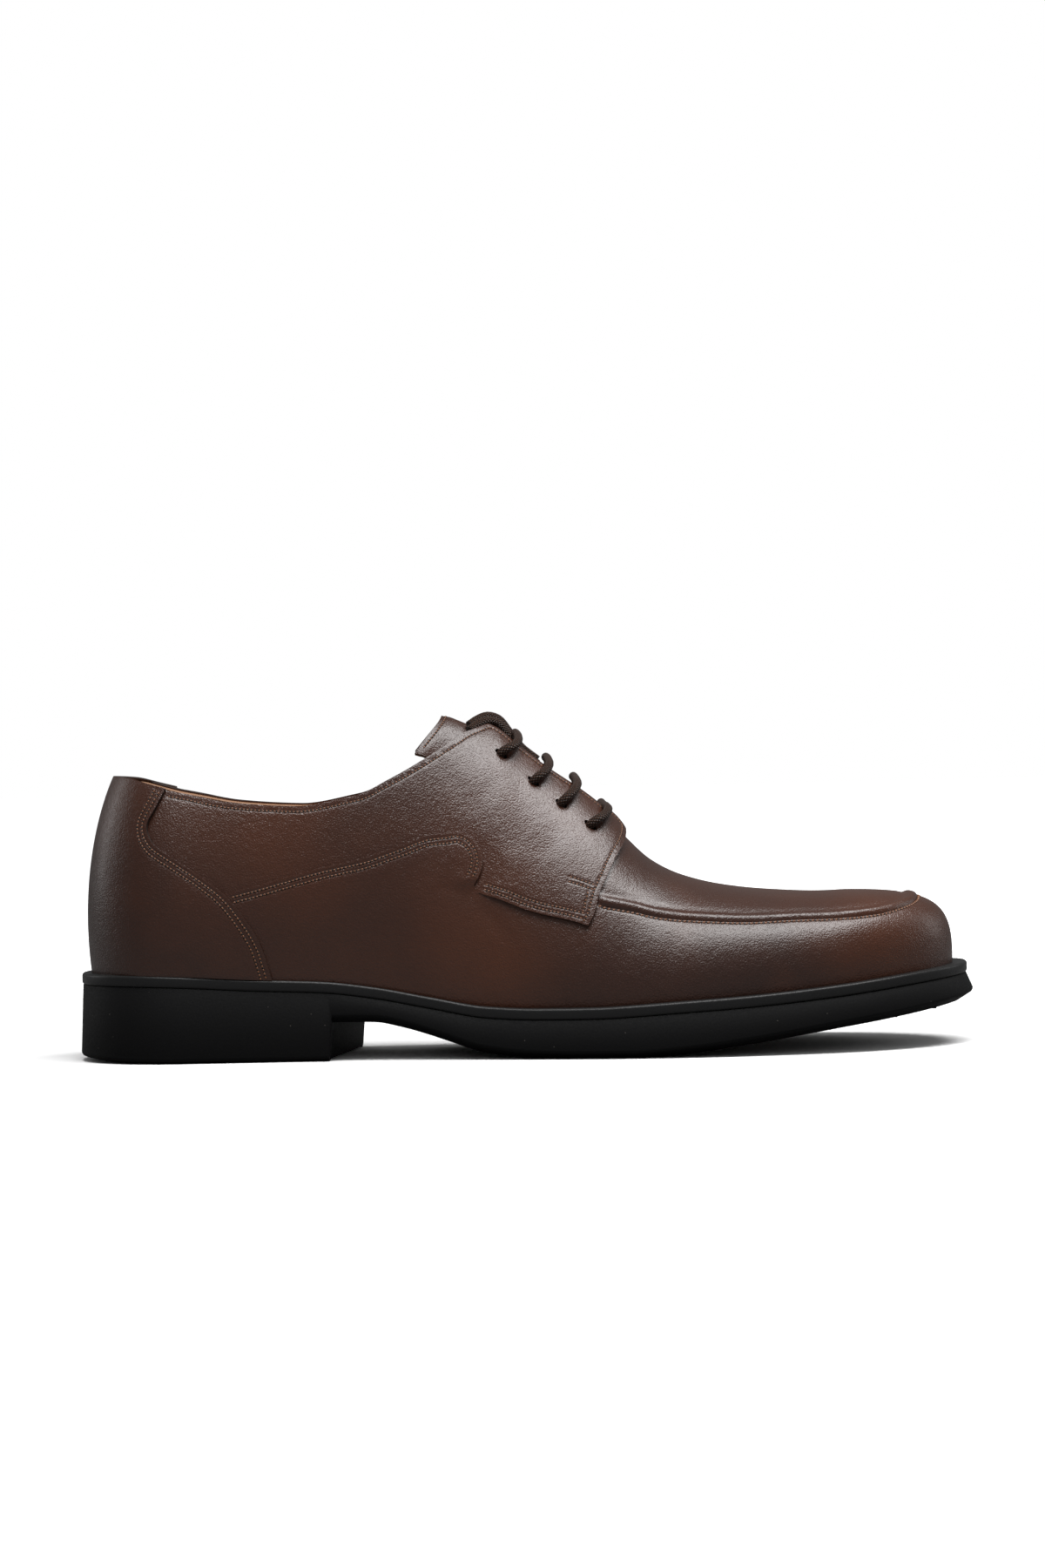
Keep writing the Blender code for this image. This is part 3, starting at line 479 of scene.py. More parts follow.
def last_normal(u, side, t):
    """Outward direction of the last's surface."""
    u, side, t = np.broadcast_arrays(*(np.asarray(v, float) for v in (u, side, t)))
    h = 0.003
    low, high = np.maximum(u - h, 0.0), np.minimum(u + h, 1.0)
    heel, toe = u < h / 2, u > 1 - h / 2
    ahead = last(np.where(toe, 1 - h, np.where(heel, h, high)), np.where(toe, -side, side), t)
    behind = last(np.where(toe, 1 - h, np.where(heel, h, low)), np.where(heel, -side, side), t)
    up = last(u, side, np.minimum(t + h, 1.0)) - last(u, side, np.maximum(t - h, 0.0))
    out = unit(np.cross(ahead - behind, up)) * -side[..., None]
    out[..., 2] *= ease(t, -0.01, 0.10)
    out = unit(out)
    x = np.clip(place(u), HEEL_FAN, TOE_FAN)
    run = crest(x + MM) - crest(x - MM)
    top = unit(np.stack([-run[..., 2], np.zeros_like(x), run[..., 0]], -1))
    return np.where((t > 0.995)[..., None], top, out)


def skin(u, side, t, out):
    """Points at a distance out from the last, in the frame's own place."""
    out = np.asarray(out, float)
    return last(u, side, t) + last_normal(u, side, t) * out[..., None] + SHIFT


# %% Heights on a rib
def solve(rises, low, high):
    """Bisection for many ribs at once: where rises(t) turns from true to false."""
    low, high = np.array(low, float), np.array(high, float)
    for _ in range(26):
        middle = (low + high) / 2
        below = rises(middle)
        low, high = np.where(below, middle, low), np.where(below, high, middle)
    return (low + high) / 2


def reach(u, side, rise):
    """How far up a rib a height above its foot is, from 0 to 1."""
    points = rib(u, side)
    height = points[0][..., 2] + rise
    zero = np.zeros(height.shape)
    return solve(lambda t: on_rib(points, t)[..., 2] < height, zero, zero + 1)


def reach_across(u, side, half):
    """How far up a rib comes within a half width of the crest's line."""
    points = rib(u, side)
    middle = points[3][..., 1]
    zero = np.zeros(middle.shape)
    return solve(
        lambda t: np.asarray(side) * (on_rib(points, t)[..., 1] - middle) > half,
        zero + 0.3,
        zero + 1,
    )


print("toe tip of the last:", (last(1.0, OUTER, 0.0) + SHIFT) / MM)

# %% [markdown]
# ## Midsole and outsole
#
# A moulded sole is a stack of outlines: each one runs round the shoe at its own
# inset and height. So a circle is added, laid on the first outline and extruded
# upwards ring by ring, which gives clean faces for the rounded edges. A boolean
# or a sculpt would need far more work to keep the long edge line this smooth.


# %% Rings round the shoe
def ring(inset, height, slant=0.0, count=200):
    """A loop of points round the shoe, at an inset in plan and at a height."""
    u = np.linspace(0.0, 1.0, count + 1)
    near = 1.6 / count
    pair = rib_at(np.array([HEEL_BREAST, HEEL_BREAST + BREAST_RAKE]))
    kept = [k for k in u if min(abs(k - pair)) > near]
    u = np.array(sorted(kept + list(pair)))
    u = np.concatenate([u, u[1:-1][::-1]])
    side = np.where(np.arange(len(u)) < len(kept) + 2, OUTER, INNER)
    flat = edge_point(u, side) - edge_normal(u, side) * inset(u)[:, None]
    lean = slant * np.exp(-(((place(u) - HEEL_BREAST) / BREAST_SPREAD) ** 2))
    flat[:, 0] += np.where(side == INNER, lean, 0.0)
    return np.concatenate([flat, height(u, flat[:, 0])[:, None]], -1) + SHIFT


def ring_stack(name, loops):
    """Adds a circle, extrudes it through the loops and closes both ends."""
    size = len(loops[0])
    start_fresh()
    bpy.ops.mesh.primitive_circle_add(vertices=size, radius=0.1)
    made = bpy.context.object
    made.name = name
    bpy.ops.object.mode_set(mode="EDIT")
    work = bmesh.from_edit_mesh(made.data)
    for vertex, spot in zip(list(work.verts), loops[0]):
        vertex.co = spot
    for loop in loops[1:]:
        bpy.ops.mesh.extrude_edges_move()
        work = bmesh.from_edit_mesh(made.data)
        work.verts.ensure_lookup_table()
        for vertex, spot in zip(work.verts[-size:], loop):
            vertex.co = spot
    bmesh.update_edit_mesh(made.data)
    bpy.ops.object.mode_set(mode="OBJECT")
    work = bmesh.new()
    work.from_mesh(made.data)
    work.verts.ensure_lookup_table()
    for first in (0, (len(loops) - 1) * size):
        for i in range(size // 2):
            corners = (first + i, first + i + 1, first + size - i - 1, first + (size - i) % size)
            corners = list(dict.fromkeys(corners))
            if len(corners) > 2:
                work.faces.new([work.verts[k] for k in corners])
    bmesh.ops.recalc_face_normals(work, faces=work.faces)
    work.to_mesh(made.data)
    work.free()
    made.data.shade_smooth()
    return made


def sharp_over(piece, degrees):
    pick(piece)
    bpy.ops.object.shade_smooth_by_angle(angle=math.radians(degrees))


# %% Midsole
def band_ring(inset, drop, slant=0.0):
    return ring(lambda u: flare(u) + inset, lambda u, x: ledge_height(x) - drop, slant)


BAND_ROUND = 0.9 * MM
turns = [math.radians(22.5 * step) for step in range(5)]
profile = [(6.0 * MM, 0.0), (1.6 * MM, 0.0)]
profile += [(BAND_ROUND * (1 - math.sin(a)), BAND_ROUND * (1 - math.cos(a))) for a in turns]
loops = [band_ring(inset, drop) for inset, drop in profile]
loops += [band_ring(inset, MIDSOLE_THICKNESS - drop) for inset, drop in reversed(profile)]
midsole = ring_stack("midsole_band", loops)
sharp_over(midsole, 40)
print("midsole faces:", len(midsole.data.polygons))


# %% Outsole
TREAD_DEPTH = 0.6 * MM


def tread_height(u, x):
    share = x / LENGTH
    sole = column(SOLE, 2, share)
    waist = column(WAIST, 1, share)
    flat = (place(u) <= HEEL_BREAST + 0.01 * MM) | (share > WAIST[-1, 0])
    return np.where(flat, sole, waist) * SEAT_HEIGHT


def bevel_at(u):
    return np.where(place(u) <= HEEL_BREAST + 0.01 * MM, 0.35, 1.0) * 1.6 * MM


def sole_ring(inset, bevel, rise):
    def height(u, x):
        return tread_height(u, x) + bevel_at(u) * bevel + rise

    return ring(lambda u: u * 0 + inset, height, BREAST_SLANT)


# inset and depth under the band's top, in millimetres
SOLE_TOP = [(6.0, 3.86), (0.5, 3.86), (0.3, 4.1)]
# inset, share of the bevel and rise over the tread
SOLE_EDGE = [(0.0, 1.0, 1.4), (0.12, 1.0, 0.8), (0.45, 1.0, 0.3), (1.1, 1.0, 0.0), (4.5, 0.0, 0.0)]
loops = [band_ring(inset * MM, drop * MM, BREAST_SLANT) for inset, drop in SOLE_TOP]
loops += [sole_ring(inset * MM, bevel, rise * MM) for inset, bevel, rise in SOLE_EDGE]
loops += [sole_ring(inset, 0.0, TREAD_DEPTH) for inset in (5.0 * MM, 9.0 * MM)]
outsole = ring_stack("outsole_moulded", loops)
sharp_over(outsole, 40)
print("outsole faces:", len(outsole.data.polygons))

# %% [markdown]
# ## Leather pieces
#
# Each piece of leather is cut flat and then pulled over the last. The cutting is
# done in code: the seams' points are joined by a smooth line, the inside is
# filled with small even triangles, and every point is then placed on the last.
# No primitive has these outlines. A Solidify modifier gives the leather its
# thickness and a Bevel modifier rounds the cut edge.


# %% Lines on the flat pattern
WIDE, TALL = 480 * MM, 112 * MM


def smooth_line(points, spacing, closed=False):
    """Even steps along a smooth curve through the given points."""
    points = np.asarray(points, float)
    if closed:
        points = np.concatenate([points, points[:1]])
        before = np.concatenate([points[-2:-1], points[:-2]])
        after = np.concatenate([points[2:], points[1:2]])
    else:
        before = np.concatenate([[2 * points[0] - points[1]], points[:-2]])
        after = np.concatenate([points[2:], [2 * points[-1] - points[-2]]])
    a, b = points[:-1], points[1:]
    near, gap_before, gap_after = (
        np.maximum(np.sqrt(np.linalg.norm(gap, axis=-1, keepdims=True)), 1e-9)
        for gap in (b - a, a - before, after - b)
    )
    lead = (a - before) / gap_before - (b - before) / (gap_before + near) + (b - a) / near
    tail = (b - a) / near - (after - a) / (near + gap_after) + (after - b) / gap_after
    lead, tail = lead * near, tail * near
    s = np.linspace(0.0, 1.0, 24, endpoint=False)[None, :, None]
    curve = cubic(a[:, None], b[:, None], lead[:, None], tail[:, None], s)
    curve = np.concatenate([curve.reshape(-1, points.shape[1]), points[-1:]])
    return even(curve, spacing)


def run_along(line):
    """The length from a line's start to each of its points."""
    return np.concatenate([[0.0], np.cumsum(np.linalg.norm(np.diff(line, axis=0), axis=1))])


def read_line(at, run, line):
    """Points at given lengths along a line."""
    return np.stack([np.interp(at, run, line[:, k]) for k in range(line.shape[1])], -1)


def even(curve, spacing):
    """The same line with points at even steps."""
    run = run_along(curve)
    count = max(int(round(run[-1] / spacing)), 1)
    return read_line(np.linspace(0.0, run[-1], count + 1), run, curve)


def on_pattern(share, t):
    """A place along the shoe and a height on its rib, as a point of the flat pattern."""
    return np.stack([rib_at(np.asarray(share, float) * LENGTH) * WIDE, t * TALL], -1)


def flat_line(rows, spacing=0.8 * MM):
    """A seam's smooth line on the flat pattern, from (place share, height on rib)."""
    rows = np.asarray(rows, float)
    return smooth_line(on_pattern(rows[:, 0], rows[:, 1]), spacing)


def join(*lines):
    """One closed outline from lines that follow each other."""
    whole = [np.asarray(lines[0])]
    for line in lines[1:]:
        line = np.asarray(line)
        if np.linalg.norm(line[0] - whole[-1][-1]) < 0.2 * MM:
            line = line[1:]
        whole.append(line)
    whole = np.concatenate(whole)
    if np.linalg.norm(whole[0] - whole[-1]) < 0.2 * MM:
        whole = whole[:-1]
    return whole


# %% Fill an outline with triangles
def inside(points, outline):
    """Which points lie inside a closed outline."""
    x, y = points[:, 0], points[:, 1]
    found = np.zeros(len(points), bool)
    for a, b in zip(outline, np.roll(outline, -1, axis=0)):
        if a[1] == b[1]:
            continue
        crosses = (a[1] > y) != (b[1] > y)
        found ^= crosses & (x < (b[0] - a[0]) * (y - a[1]) / (b[1] - a[1]) + a[0])
    return found


def far_from(points, line, distance):
    """Which points keep a distance from a line of points."""
    kept = np.ones(len(points), bool)
    for start in range(0, len(line), 64):
        chunk = line[start : start + 64]
        gaps = np.linalg.norm(points[:, None] - chunk[None], axis=-1)
        kept &= gaps.min(axis=1) > distance
    return kept


def cut_pattern(outline, holes=(), rows=(), spacing=1.25 * MM):
    """Flat points and triangles that fill an outline, with holes left open."""
    low, high = outline.min(axis=0), outline.max(axis=0)
    xs = np.arange(low[0], high[0], spacing)
    ys = np.arange(low[1], high[1], spacing * 0.866)
    grid = np.stack(np.meshgrid(xs, ys), -1)
    grid[1::2, :, 0] += spacing / 2
    grid = grid.reshape(-1, 2)
    grid = grid[inside(grid, outline)]
    loops = [outline, *holes]
    for line in [*loops, *rows]:
        grid = grid[far_from(grid, line, spacing * 0.62)]
    for hole in holes:
        grid = grid[~inside(grid, hole)]
    points, edges = [], []
    for loop in loops:
        first = sum(len(p) for p in points)
        points.append(loop)
        edges += [(first + k, first + (k + 1) % len(loop)) for k in range(len(loop))]
    for line in rows:
        first = sum(len(p) for p in points)
        points.append(line)
        edges += [(first + k, first + k + 1) for k in range(len(line) - 1)]
    points.append(grid)
    flat = np.concatenate(points)
    filled = delaunay_2d_cdt([Vector(p) for p in flat / MM], edges, [], 0, 1e-5)
    flat = np.array([tuple(p) for p in filled[0]]) * MM
    faces = np.array([tuple(f) for f in filled[2]])
    centres = flat[faces].mean(axis=1)
    kept = inside(centres, outline)
    for hole in holes:
        kept &= ~inside(centres, hole)
    return flat, faces[kept]


# %% From pattern to leather
def mesh_from(name, points, faces):
    data = bpy.data.meshes.new(name)
    data.from_pydata(points.tolist(), [], faces)
    data.update()
    return add_to_scene(name, data)


def give_wall(piece, thickness, edge, rim=0):
    """Gives a sheet its thickness and rounds its cut edge, with modifiers applied."""
    wall = piece.modifiers.new("wall", "SOLIDIFY")
    wall.thickness = thickness
    wall.offset = -1.0
    wall.material_offset_rim = rim
    round_edge = piece.modifiers.new("round_edge", "BEVEL")
    round_edge.width = edge
    round_edge.segments = 3
    round_edge.limit_method = "ANGLE"
    round_edge.angle_limit = math.radians(58)
    pick(piece)
    for modifier in list(piece.modifiers):
        bpy.ops.object.modifier_apply(modifier=modifier.name)
    piece.data.shade_smooth()


def refine(work, near, longest):
    """Splits the sheet's edges near a row until they are short."""
    for _ in range(2):
        long = [e for e in work.edges if e.calc_length() > longest]
        close = [e for e in long if near(e.verts[0].co) and near(e.verts[1].co)]
        if close:
            bmesh.ops.subdivide_edges(work, edges=close, cuts=1, use_grid_fill=True)
    bmesh.ops.triangulate(work, faces=[f for f in work.faces if len(f.verts) > 3])


def press_furrows(work, rows, depth=0.18 * MM, width=0.52 * MM):
    """Stitches pull the leather down, so each row lies in a soft furrow."""
    spots = np.concatenate([even(line, 0.3 * MM) for line in rows])
    tree = KDTree(len(spots))
    for k, spot in enumerate(spots):
        tree.insert(spot, k)
    tree.balance()
    refine(work, lambda spot: tree.find(spot)[2] < 1.9 * MM, 0.62 * MM)
    work.normal_update()
    for vertex in work.verts:
        away = tree.find(vertex.co)[2]
        if away < 3 * width:
            vertex.co -= vertex.normal * depth * math.exp(-((away / width) ** 2))


def leather_piece(name, points, faces, thickness, edge=0.35 * MM, furrows=()):
    """Gives a sheet on the last its thickness, inwards, and a rounded cut edge."""
    made = mesh_from(name, points, faces.tolist())
    work = bmesh.new()
    work.from_mesh(made.data)
    loose = [v for v in work.verts if not v.link_faces]
    bmesh.ops.delete(work, geom=loose, context="VERTS")
    bmesh.ops.remove_doubles(work, verts=work.verts, dist=0.01 * MM)
    if furrows:
        press_furrows(work, furrows)
    work.to_mesh(made.data)
    work.free()
    # a second slot for the cut rim: dark edge ink, partly the real dye and partly painted shade
    # along overlapping edges
    made.data.materials.append(None)
    made.data.materials.append(None)
    give_wall(made, thickness, edge, rim=1)
    return made


print("pattern scale:", WIDE / MM, TALL / MM)

# %% [markdown]
# ### Quarters
#
# Each quarter makes the collar, the facing with its four lace holes and the tab
# that is sewn down over the vamp. In front of the vamp's curled wing it passes
# from under the vamp to over it, so it climbs by a leather's thickness there.

# %% Seams shared by the pieces, as (place share, height on the rib)
WING = [
    (0.1450, 0.2050), (0.1725, 0.2175), (0.2424, 0.2513), (0.3223, 0.2889), (0.3541, 0.3191),
    (0.3900, 0.3669), (0.4085, 0.3860), (0.4254, 0.4035), (0.4375, 0.3999), (0.4468, 0.3793),
    (0.4505, 0.3488), (0.4476, 0.3107), (0.4405, 0.2790),
]
TAB_BOTTOM = [
    (0.4380, 0.2652), (0.4541, 0.2596), (0.4813, 0.2517), (0.5094, 0.2504), (0.5374, 0.2528),
    (0.5642, 0.2478),
]
TAB_FRONT = [
    (0.5642, 0.2478), (0.5708, 0.2907), (0.5775, 0.3727), (0.5870, 0.4653), (0.5976, 0.5983),
    (0.6035, 0.6980), (0.6058, 0.7981), (0.6044, 0.8640), (0.5969, 0.8851),
]
COUNTER_FRONT = [
    (0.2205, 0.0000), (0.2088, 0.0852), (0.1934, 0.1457), (0.1725, 0.2087), (0.1461, 0.2628),
    (0.1141, 0.3196), (0.0875, 0.3693), (0.0810, 0.4135), (0.0918, 0.4754), (0.1042, 0.5301),
]
APRON_SEAM = [
    (0.5400, 0.3750), (0.5789, 0.3374), (0.6223, 0.3839), (0.6821, 0.4219), (0.7443, 0.4373),
    (0.8055, 0.4603), (0.8713, 0.4474), (0.9114, 0.4582), (0.9484, 0.5135), (0.9941, 0.6353),
    (1.0000, 0.6400),
]
EYELETS = [(0.4738, 0.7182), (0.5082, 0.6910), (0.5384, 0.6628), (0.5686, 0.6373)]
EDGE_ROWS = 1.7 * MM, 3.5 * MM
WING_ROWS = -1.8 * MM, -3.6 * MM
APRON_GROOVE = -0.45 * MM
QUARTER_WALL, VAMP_WALL, COUNTER_WALL = 1.15 * MM, 1.2 * MM, 1.35 * MM
HOLE = 1.9 * MM
OVERLAP = 1.3 * MM


# %% Topline and facing edge
def topline(share, side=OUTER):
    """How far up its rib the collar's edge lies, or the facing's further forward."""
    share = np.asarray(share, float)
    u = rib_at(share * LENGTH)
    rise = column(RIBS, 5, share) * BACK_RISE
    half = read([0.44, 0.4907, 0.5795, 0.60], [6.6, 8.4, 10.6, 10.6], share) * MM
    collar = reach(u, side, rise)
    facing = reach_across(u, side, half)
    return np.where(share < 0.40, collar, np.minimum(collar, facing))


def slit(t):
    """Where the curled end of the wing lies over the quarter."""
    heights = [0.20, 0.2652, 0.3107, 0.3488, 0.3793, 0.42]
    return read(heights, [0.436, 0.438, 0.4476, 0.4505, 0.4505, 0.45], t)


# %% Creases
def folds(u, t, creases):
    """Soft troughs pressed into the leather, each along a line on the flat pattern."""
    spots = np.stack([np.asarray(u) * WIDE, np.asarray(t) * TALL], -1)
    total = np.zeros(spots.shape[:-1])
    for start, end, depth, width in creases:
        a, b = on_pattern(*start), on_pattern(*end)
        along = np.clip(((spots - a) @ (b - a)) / np.dot(b - a, b - a), 0.0, 1.0)
        away = np.linalg.norm(spots - (a + along[..., None] * (b - a)), axis=-1)
        fading = 0.25 + 0.75 * np.sin(np.pi * along) ** 0.7
        total -= depth * MM * np.exp(-((away / (width * MM)) ** 2)) * fading
    return total


# start and end of each crease on the pattern, then its depth and width in millimetres
LACE_PULLS = [
    ((0.482, 0.66), (0.440, 0.48), 0.14, 3.0), ((0.548, 0.60), (0.500, 0.36), 0.16, 3.4),
    ((0.395, 0.62), (0.448, 0.47), 0.12, 3.6), ((0.300, 0.46), (0.380, 0.55), 0.12, 4.0),
]
FLEX_CREASES = [
    ((0.585, 0.05), (0.618, 0.30), 0.14, 3.4), ((0.645, 0.06), (0.662, 0.34), 0.16, 3.6),
    ((0.700, 0.08), (0.690, 0.36), 0.12, 3.2), ((0.430, 0.33), (0.405, 0.24), 0.22, 1.8),
    ((0.442, 0.24), (0.480, 0.16), 0.20, 2.4), ((0.300, 0.14), (0.360, 0.24), 0.14, 3.6),
]


# %% How far each leather lies over the last
def quarter_out(u, side, t):
    x = place(u)
    high = ease(t, 0.36, 0.46)
    start = mix(slit(t) * LENGTH - 2.0 * MM, 0.40 * LENGTH, high)
    end = mix(slit(t) * LENGTH + 12.0 * MM, 0.54 * LENGTH, high)
    corner = ease(x, 0.54 * LENGTH, FACING_FRONT) * ease(t, 0.35, 0.75)
    return OVERLAP * ease(x, start, end) + 1.8 * MM * corner + folds(u, t, LACE_PULLS)


def vamp_out(u, side, t):
    x = place(u)
    nose = ease(t, 0.25, 0.31)
    start, end = mix(0.395, 0.4530, nose) * LENGTH, mix(0.457, 0.4600, nose) * LENGTH
    rear = mix(0.75, 1.0, ease(x, 0.20 * LENGTH, 0.30 * LENGTH))
    return OVERLAP * rear * (1 - ease(x, start, end)) + folds(u, t, FLEX_CREASES)


def counter_out(u, side, t):
    low = 1 - ease(t, 0.18, 0.34)
    front = ease(place(u), 0.09 * LENGTH, 0.17 * LENGTH)
    return 1.5 * MM + 0.7 * MM * low * front


# %% Rows of stitches beside the seams
def beside(flat, side, out, inset):
    """A seam's line on the last, moved sideways over the leather. On either side of
    the shoe a positive inset is to the same hand of the line."""
    u, t = flat[:, 0] / WIDE, flat[:, 1] / TALL
    sides = np.full(len(u), side)
    spots = skin(u, sides, t, out(u, sides, t))
    across = unit(np.cross(last_normal(u, sides, t), unit(np.gradient(spots, axis=0))))
    return spots - across * inset * side


def quarter_rows(side):
    shares = np.linspace(0.1085, 0.5790, 260)
    collar = on_pattern(shares, topline(shares))
    nose = flat_line([(0.5790, float(topline(0.5790))), *TAB_FRONT[::-1]])
    rows = [beside(join(collar, nose), side, quarter_out, -2.0 * MM)]
    bottom = flat_line(TAB_BOTTOM)
    rows += [beside(bottom, side, quarter_out, inset)[4:-2] for inset in EDGE_ROWS]
    rows.append(beside(flat_line(TAB_FRONT[:3]), side, quarter_out, 3.8 * MM)[5:])
    tack = flat_line([(0.5440, 0.3795), (0.5780, 0.3862)])
    rows += [beside(tack, side, quarter_out, inset)[:-2] for inset in (-0.9 * MM, 0.9 * MM)]
    return rows


def wing_rows(side):
    wing = flat_line(WING[1:])
    return [beside(wing, side, vamp_out, inset)[2:-1] for inset in WING_ROWS]


def counter_rows(side):
    front = flat_line(COUNTER_FRONT)
    return [beside(front, side, counter_out, inset)[1:-1] for inset in EDGE_ROWS]


# %% Cut and last the quarters
def quarter_pattern():
    shares = np.linspace(0.062, 0.5800, 360)
    top = on_pattern(shares, topline(shares))
    corner = flat_line([(0.5800, float(topline(0.5800))), *TAB_FRONT[::-1][:3]])
    front = flat_line(TAB_FRONT[::-1][2:])
    bottom = flat_line(TAB_BOTTOM[::-1])
    under = [
        (0.4380, 0.2652), (0.4250, 0.2850), (0.4000, 0.2900), (0.3541, 0.2450), (0.3223, 0.2150),
        (0.2424, 0.1780), (0.1600, 0.1400), (0.1300, 0.2000), (0.0950, 0.3000), (0.0640, 0.3700),
        (0.0600, 0.4200), (0.062, float(topline(0.062))),
    ]
    return join(even(top, 0.8 * MM), corner, front, bottom, flat_line(under, 1.2 * MM))


def round_hole(share, t, radius, count=28):
    turn = np.linspace(0.0, 2 * np.pi, count, endpoint=False)
    return on_pattern(share, t) + radius * np.stack([np.cos(turn), np.sin(turn)], -1)


holes = [round_hole(share, t, HOLE) for share, t in EYELETS]
quarter_flat, quarter_faces = cut_pattern(quarter_pattern(), holes)
quarters = {}
for side, name in ((OUTER, "quarter_leather_outer"), (INNER, "quarter_leather_inner")):
    u, t = quarter_flat[:, 0] / WIDE, quarter_flat[:, 1] / TALL
    spots = skin(u, side, t, quarter_out(u, side, t))
    faces = quarter_faces if side == OUTER else quarter_faces[:, ::-1]
    quarters[side] = leather_piece(name, spots, faces, QUARTER_WALL, furrows=quarter_rows(side))
print("quarter triangles:", len(quarters[OUTER].data.polygons))

# %% [markdown]
# ### Vamp
#
# The vamp is one piece: the wall round the toe and a wing on each side that
# curls up over the quarter. Its top edge meets the apron in a raised seam.


# %% Cut and last the vamp
def both_sides(half):
    """A closed outline from one half, mirrored over the pattern's middle line."""
    other = half[::-1] * np.array([-1.0, 1.0])
    return join(half[half[:, 0] > 1e-9], other[other[:, 0] < -1e-9])


def from_middle(flat):
    """Ribs away from the middle line, side and height of flat points."""
    return np.abs(flat[:, 0]) / WIDE, side_of(flat[:, 0]), flat[:, 1] / TALL


def foot_line(start, end, count):
    """The pattern's lower edge, which lies on the midsole."""
    x = np.linspace(start, end, count)
    return np.stack([x, x * 0.0], -1)


def from_toe(flat):
    """Flat points of one side, measured from the toe's middle line instead."""
    return np.stack([WIDE - flat[:, 0], flat[:, 1]], -1)


def vamp_pattern():
    """The wall's outline on one side: along its foot, up its back end and its top edge."""
    wing = flat_line([(0.1300, 0.1950), *WING])
    under = flat_line([
        (0.4420, 0.2700), (0.4560, 0.3000), (0.4700, 0.3300), (0.5050, 0.3500), (0.5400, 0.3750),
    ])
    back = flat_line([(0.1900, 0.0000), (0.1800, 0.0600), (0.1300, 0.1950)])
    foot = foot_line(on_pattern(0.1900, 0.0)[0], WIDE, 420)
    rim = join(wing, under, flat_line(APRON_SEAM))
    return join(from_toe(foot)[::-1], from_toe(back), from_toe(rim))


def on_round(outer, inner):
    """Goes along one side to the end and comes back along the other."""
    return np.concatenate([outer, inner[::-1][1:]])


def apron_row():
    """The row below the apron's seam, from the outer tab round the toe to the inner."""
    line = flat_line(APRON_SEAM)
    line = line[line[:, 0] > on_pattern(0.5755, 0.0)[0]]
    return on_round(*(beside(line, side, vamp_out, APRON_GROOVE) for side in SIDES))


vamp_flat, vamp_faces = cut_pattern(both_sides(vamp_pattern()), spacing=1.3 * MM)
u, side, t = from_middle(vamp_flat)
u = 1.0 - u
spots = skin(u, side, t, vamp_out(u, side, t))
furrows = [*wing_rows(OUTER), *wing_rows(INNER), apron_row()]
vamp = leather_piece("vamp_leather", spots, vamp_faces, VAMP_WALL, furrows=furrows)
print("vamp triangles:", len(vamp.data.polygons))

# %% Cut and last the counter
front = flat_line([*COUNTER_FRONT[:-1], (0.1042, float(topline(0.1042)))])
top_shares = place(np.linspace(float(rib_at(0.1042 * LENGTH)), 0.0, 90)) / LENGTH
top = on_pattern(top_shares, topline(top_shares))
half = join(foot_line(0.0, on_pattern(0.2205, 0.0)[0], 160), front, even(top, 0.8 * MM))
counter_flat, counter_faces = cut_pattern(both_sides(half))
u, side, t = from_middle(counter_flat)
spots = skin(u, side, t, counter_out(u, side, t))
furrows = counter_rows(OUTER) + counter_rows(INNER)
faces = counter_faces[:, ::-1]
counter = leather_piece("counter_leather", spots, faces, COUNTER_WALL, furrows=furrows)
print("counter triangles:", len(counter.data.polygons))

# %% [markdown]
# ### Apron
#
# The apron is the tongue-shaped piece over the toes. Its edge is drawn up into a
# soft ridge, with a stitched groove below it and a crease above. It lies on both
# sides of the crest, so it is cut on a chart that unrolls the last from there.


# %% Unroll the last from its crest
def chart_frame(u, side):
    """Where a rib starts on the crest's line, and its direction, in plan."""
    low, _, _, top = rib(u, side)
    return top[..., 0], unit((low - top)[..., :2])


def rib_lengths(u, side, samples=48):
    """Lengths along each rib, from even heights up to the crest."""
    t = np.linspace(0.0, 1.0, samples + 1)
    points = np.stack([last(u, side, np.full(np.shape(u), v)) for v in t], -2)
    steps = np.linalg.norm(np.diff(points, axis=-2), axis=-1)
    rest = np.cumsum(steps[..., ::-1], axis=-1)[..., ::-1]
    return t, np.concatenate([rest, steps[..., :1] * 0], -1)


def read_rows(at, keys, rows):
    """Reads each row of a falling table at its own place."""
    k = np.clip((rows > at[:, None]).sum(axis=1) - 1, 0, rows.shape[1] - 2)
    pick = np.arange(len(at))
    high, low = rows[pick, k], rows[pick, k + 1]
    share = np.clip((high - at) / np.maximum(high - low, 1e-12), 0.0, 1.0)
    return keys[k] + (keys[k + 1] - keys[k]) * share


def length_above(u, side, t):
    """The length left on each rib, from a height t up to the crest."""
    t_grid, to_top = rib_lengths(u, side)
    return np.array([np.interp(a, t_grid, row) for a, row in zip(t, to_top)])


def to_chart(u, side, t):
    r = length_above(u, side, t)
    start, way = chart_frame(u, side)
    return np.stack([start + r * way[:, 0], r * way[:, 1]], -1)


def from_chart(flat):
    side = side_of(flat[:, 1])

    def behind(u):
        start, way = chart_frame(u, side)
        return side * ((flat[:, 0] - start) * way[:, 1] - flat[:, 1] * way[:, 0]) > 0.0

    low = np.full(len(flat), float(rib_at(0.50 * LENGTH)))
    u = solve(behind, low, low * 0 + 1.0)
    start, _ = chart_frame(u, side)
    r = np.hypot(flat[:, 0] - start, flat[:, 1])
    t_grid, to_top = rib_lengths(u, side)
    return u, side, read_rows(r, t_grid, to_top)


# %% Cut and last the apron
seam_flat = flat_line(APRON_SEAM, 0.8 * MM)


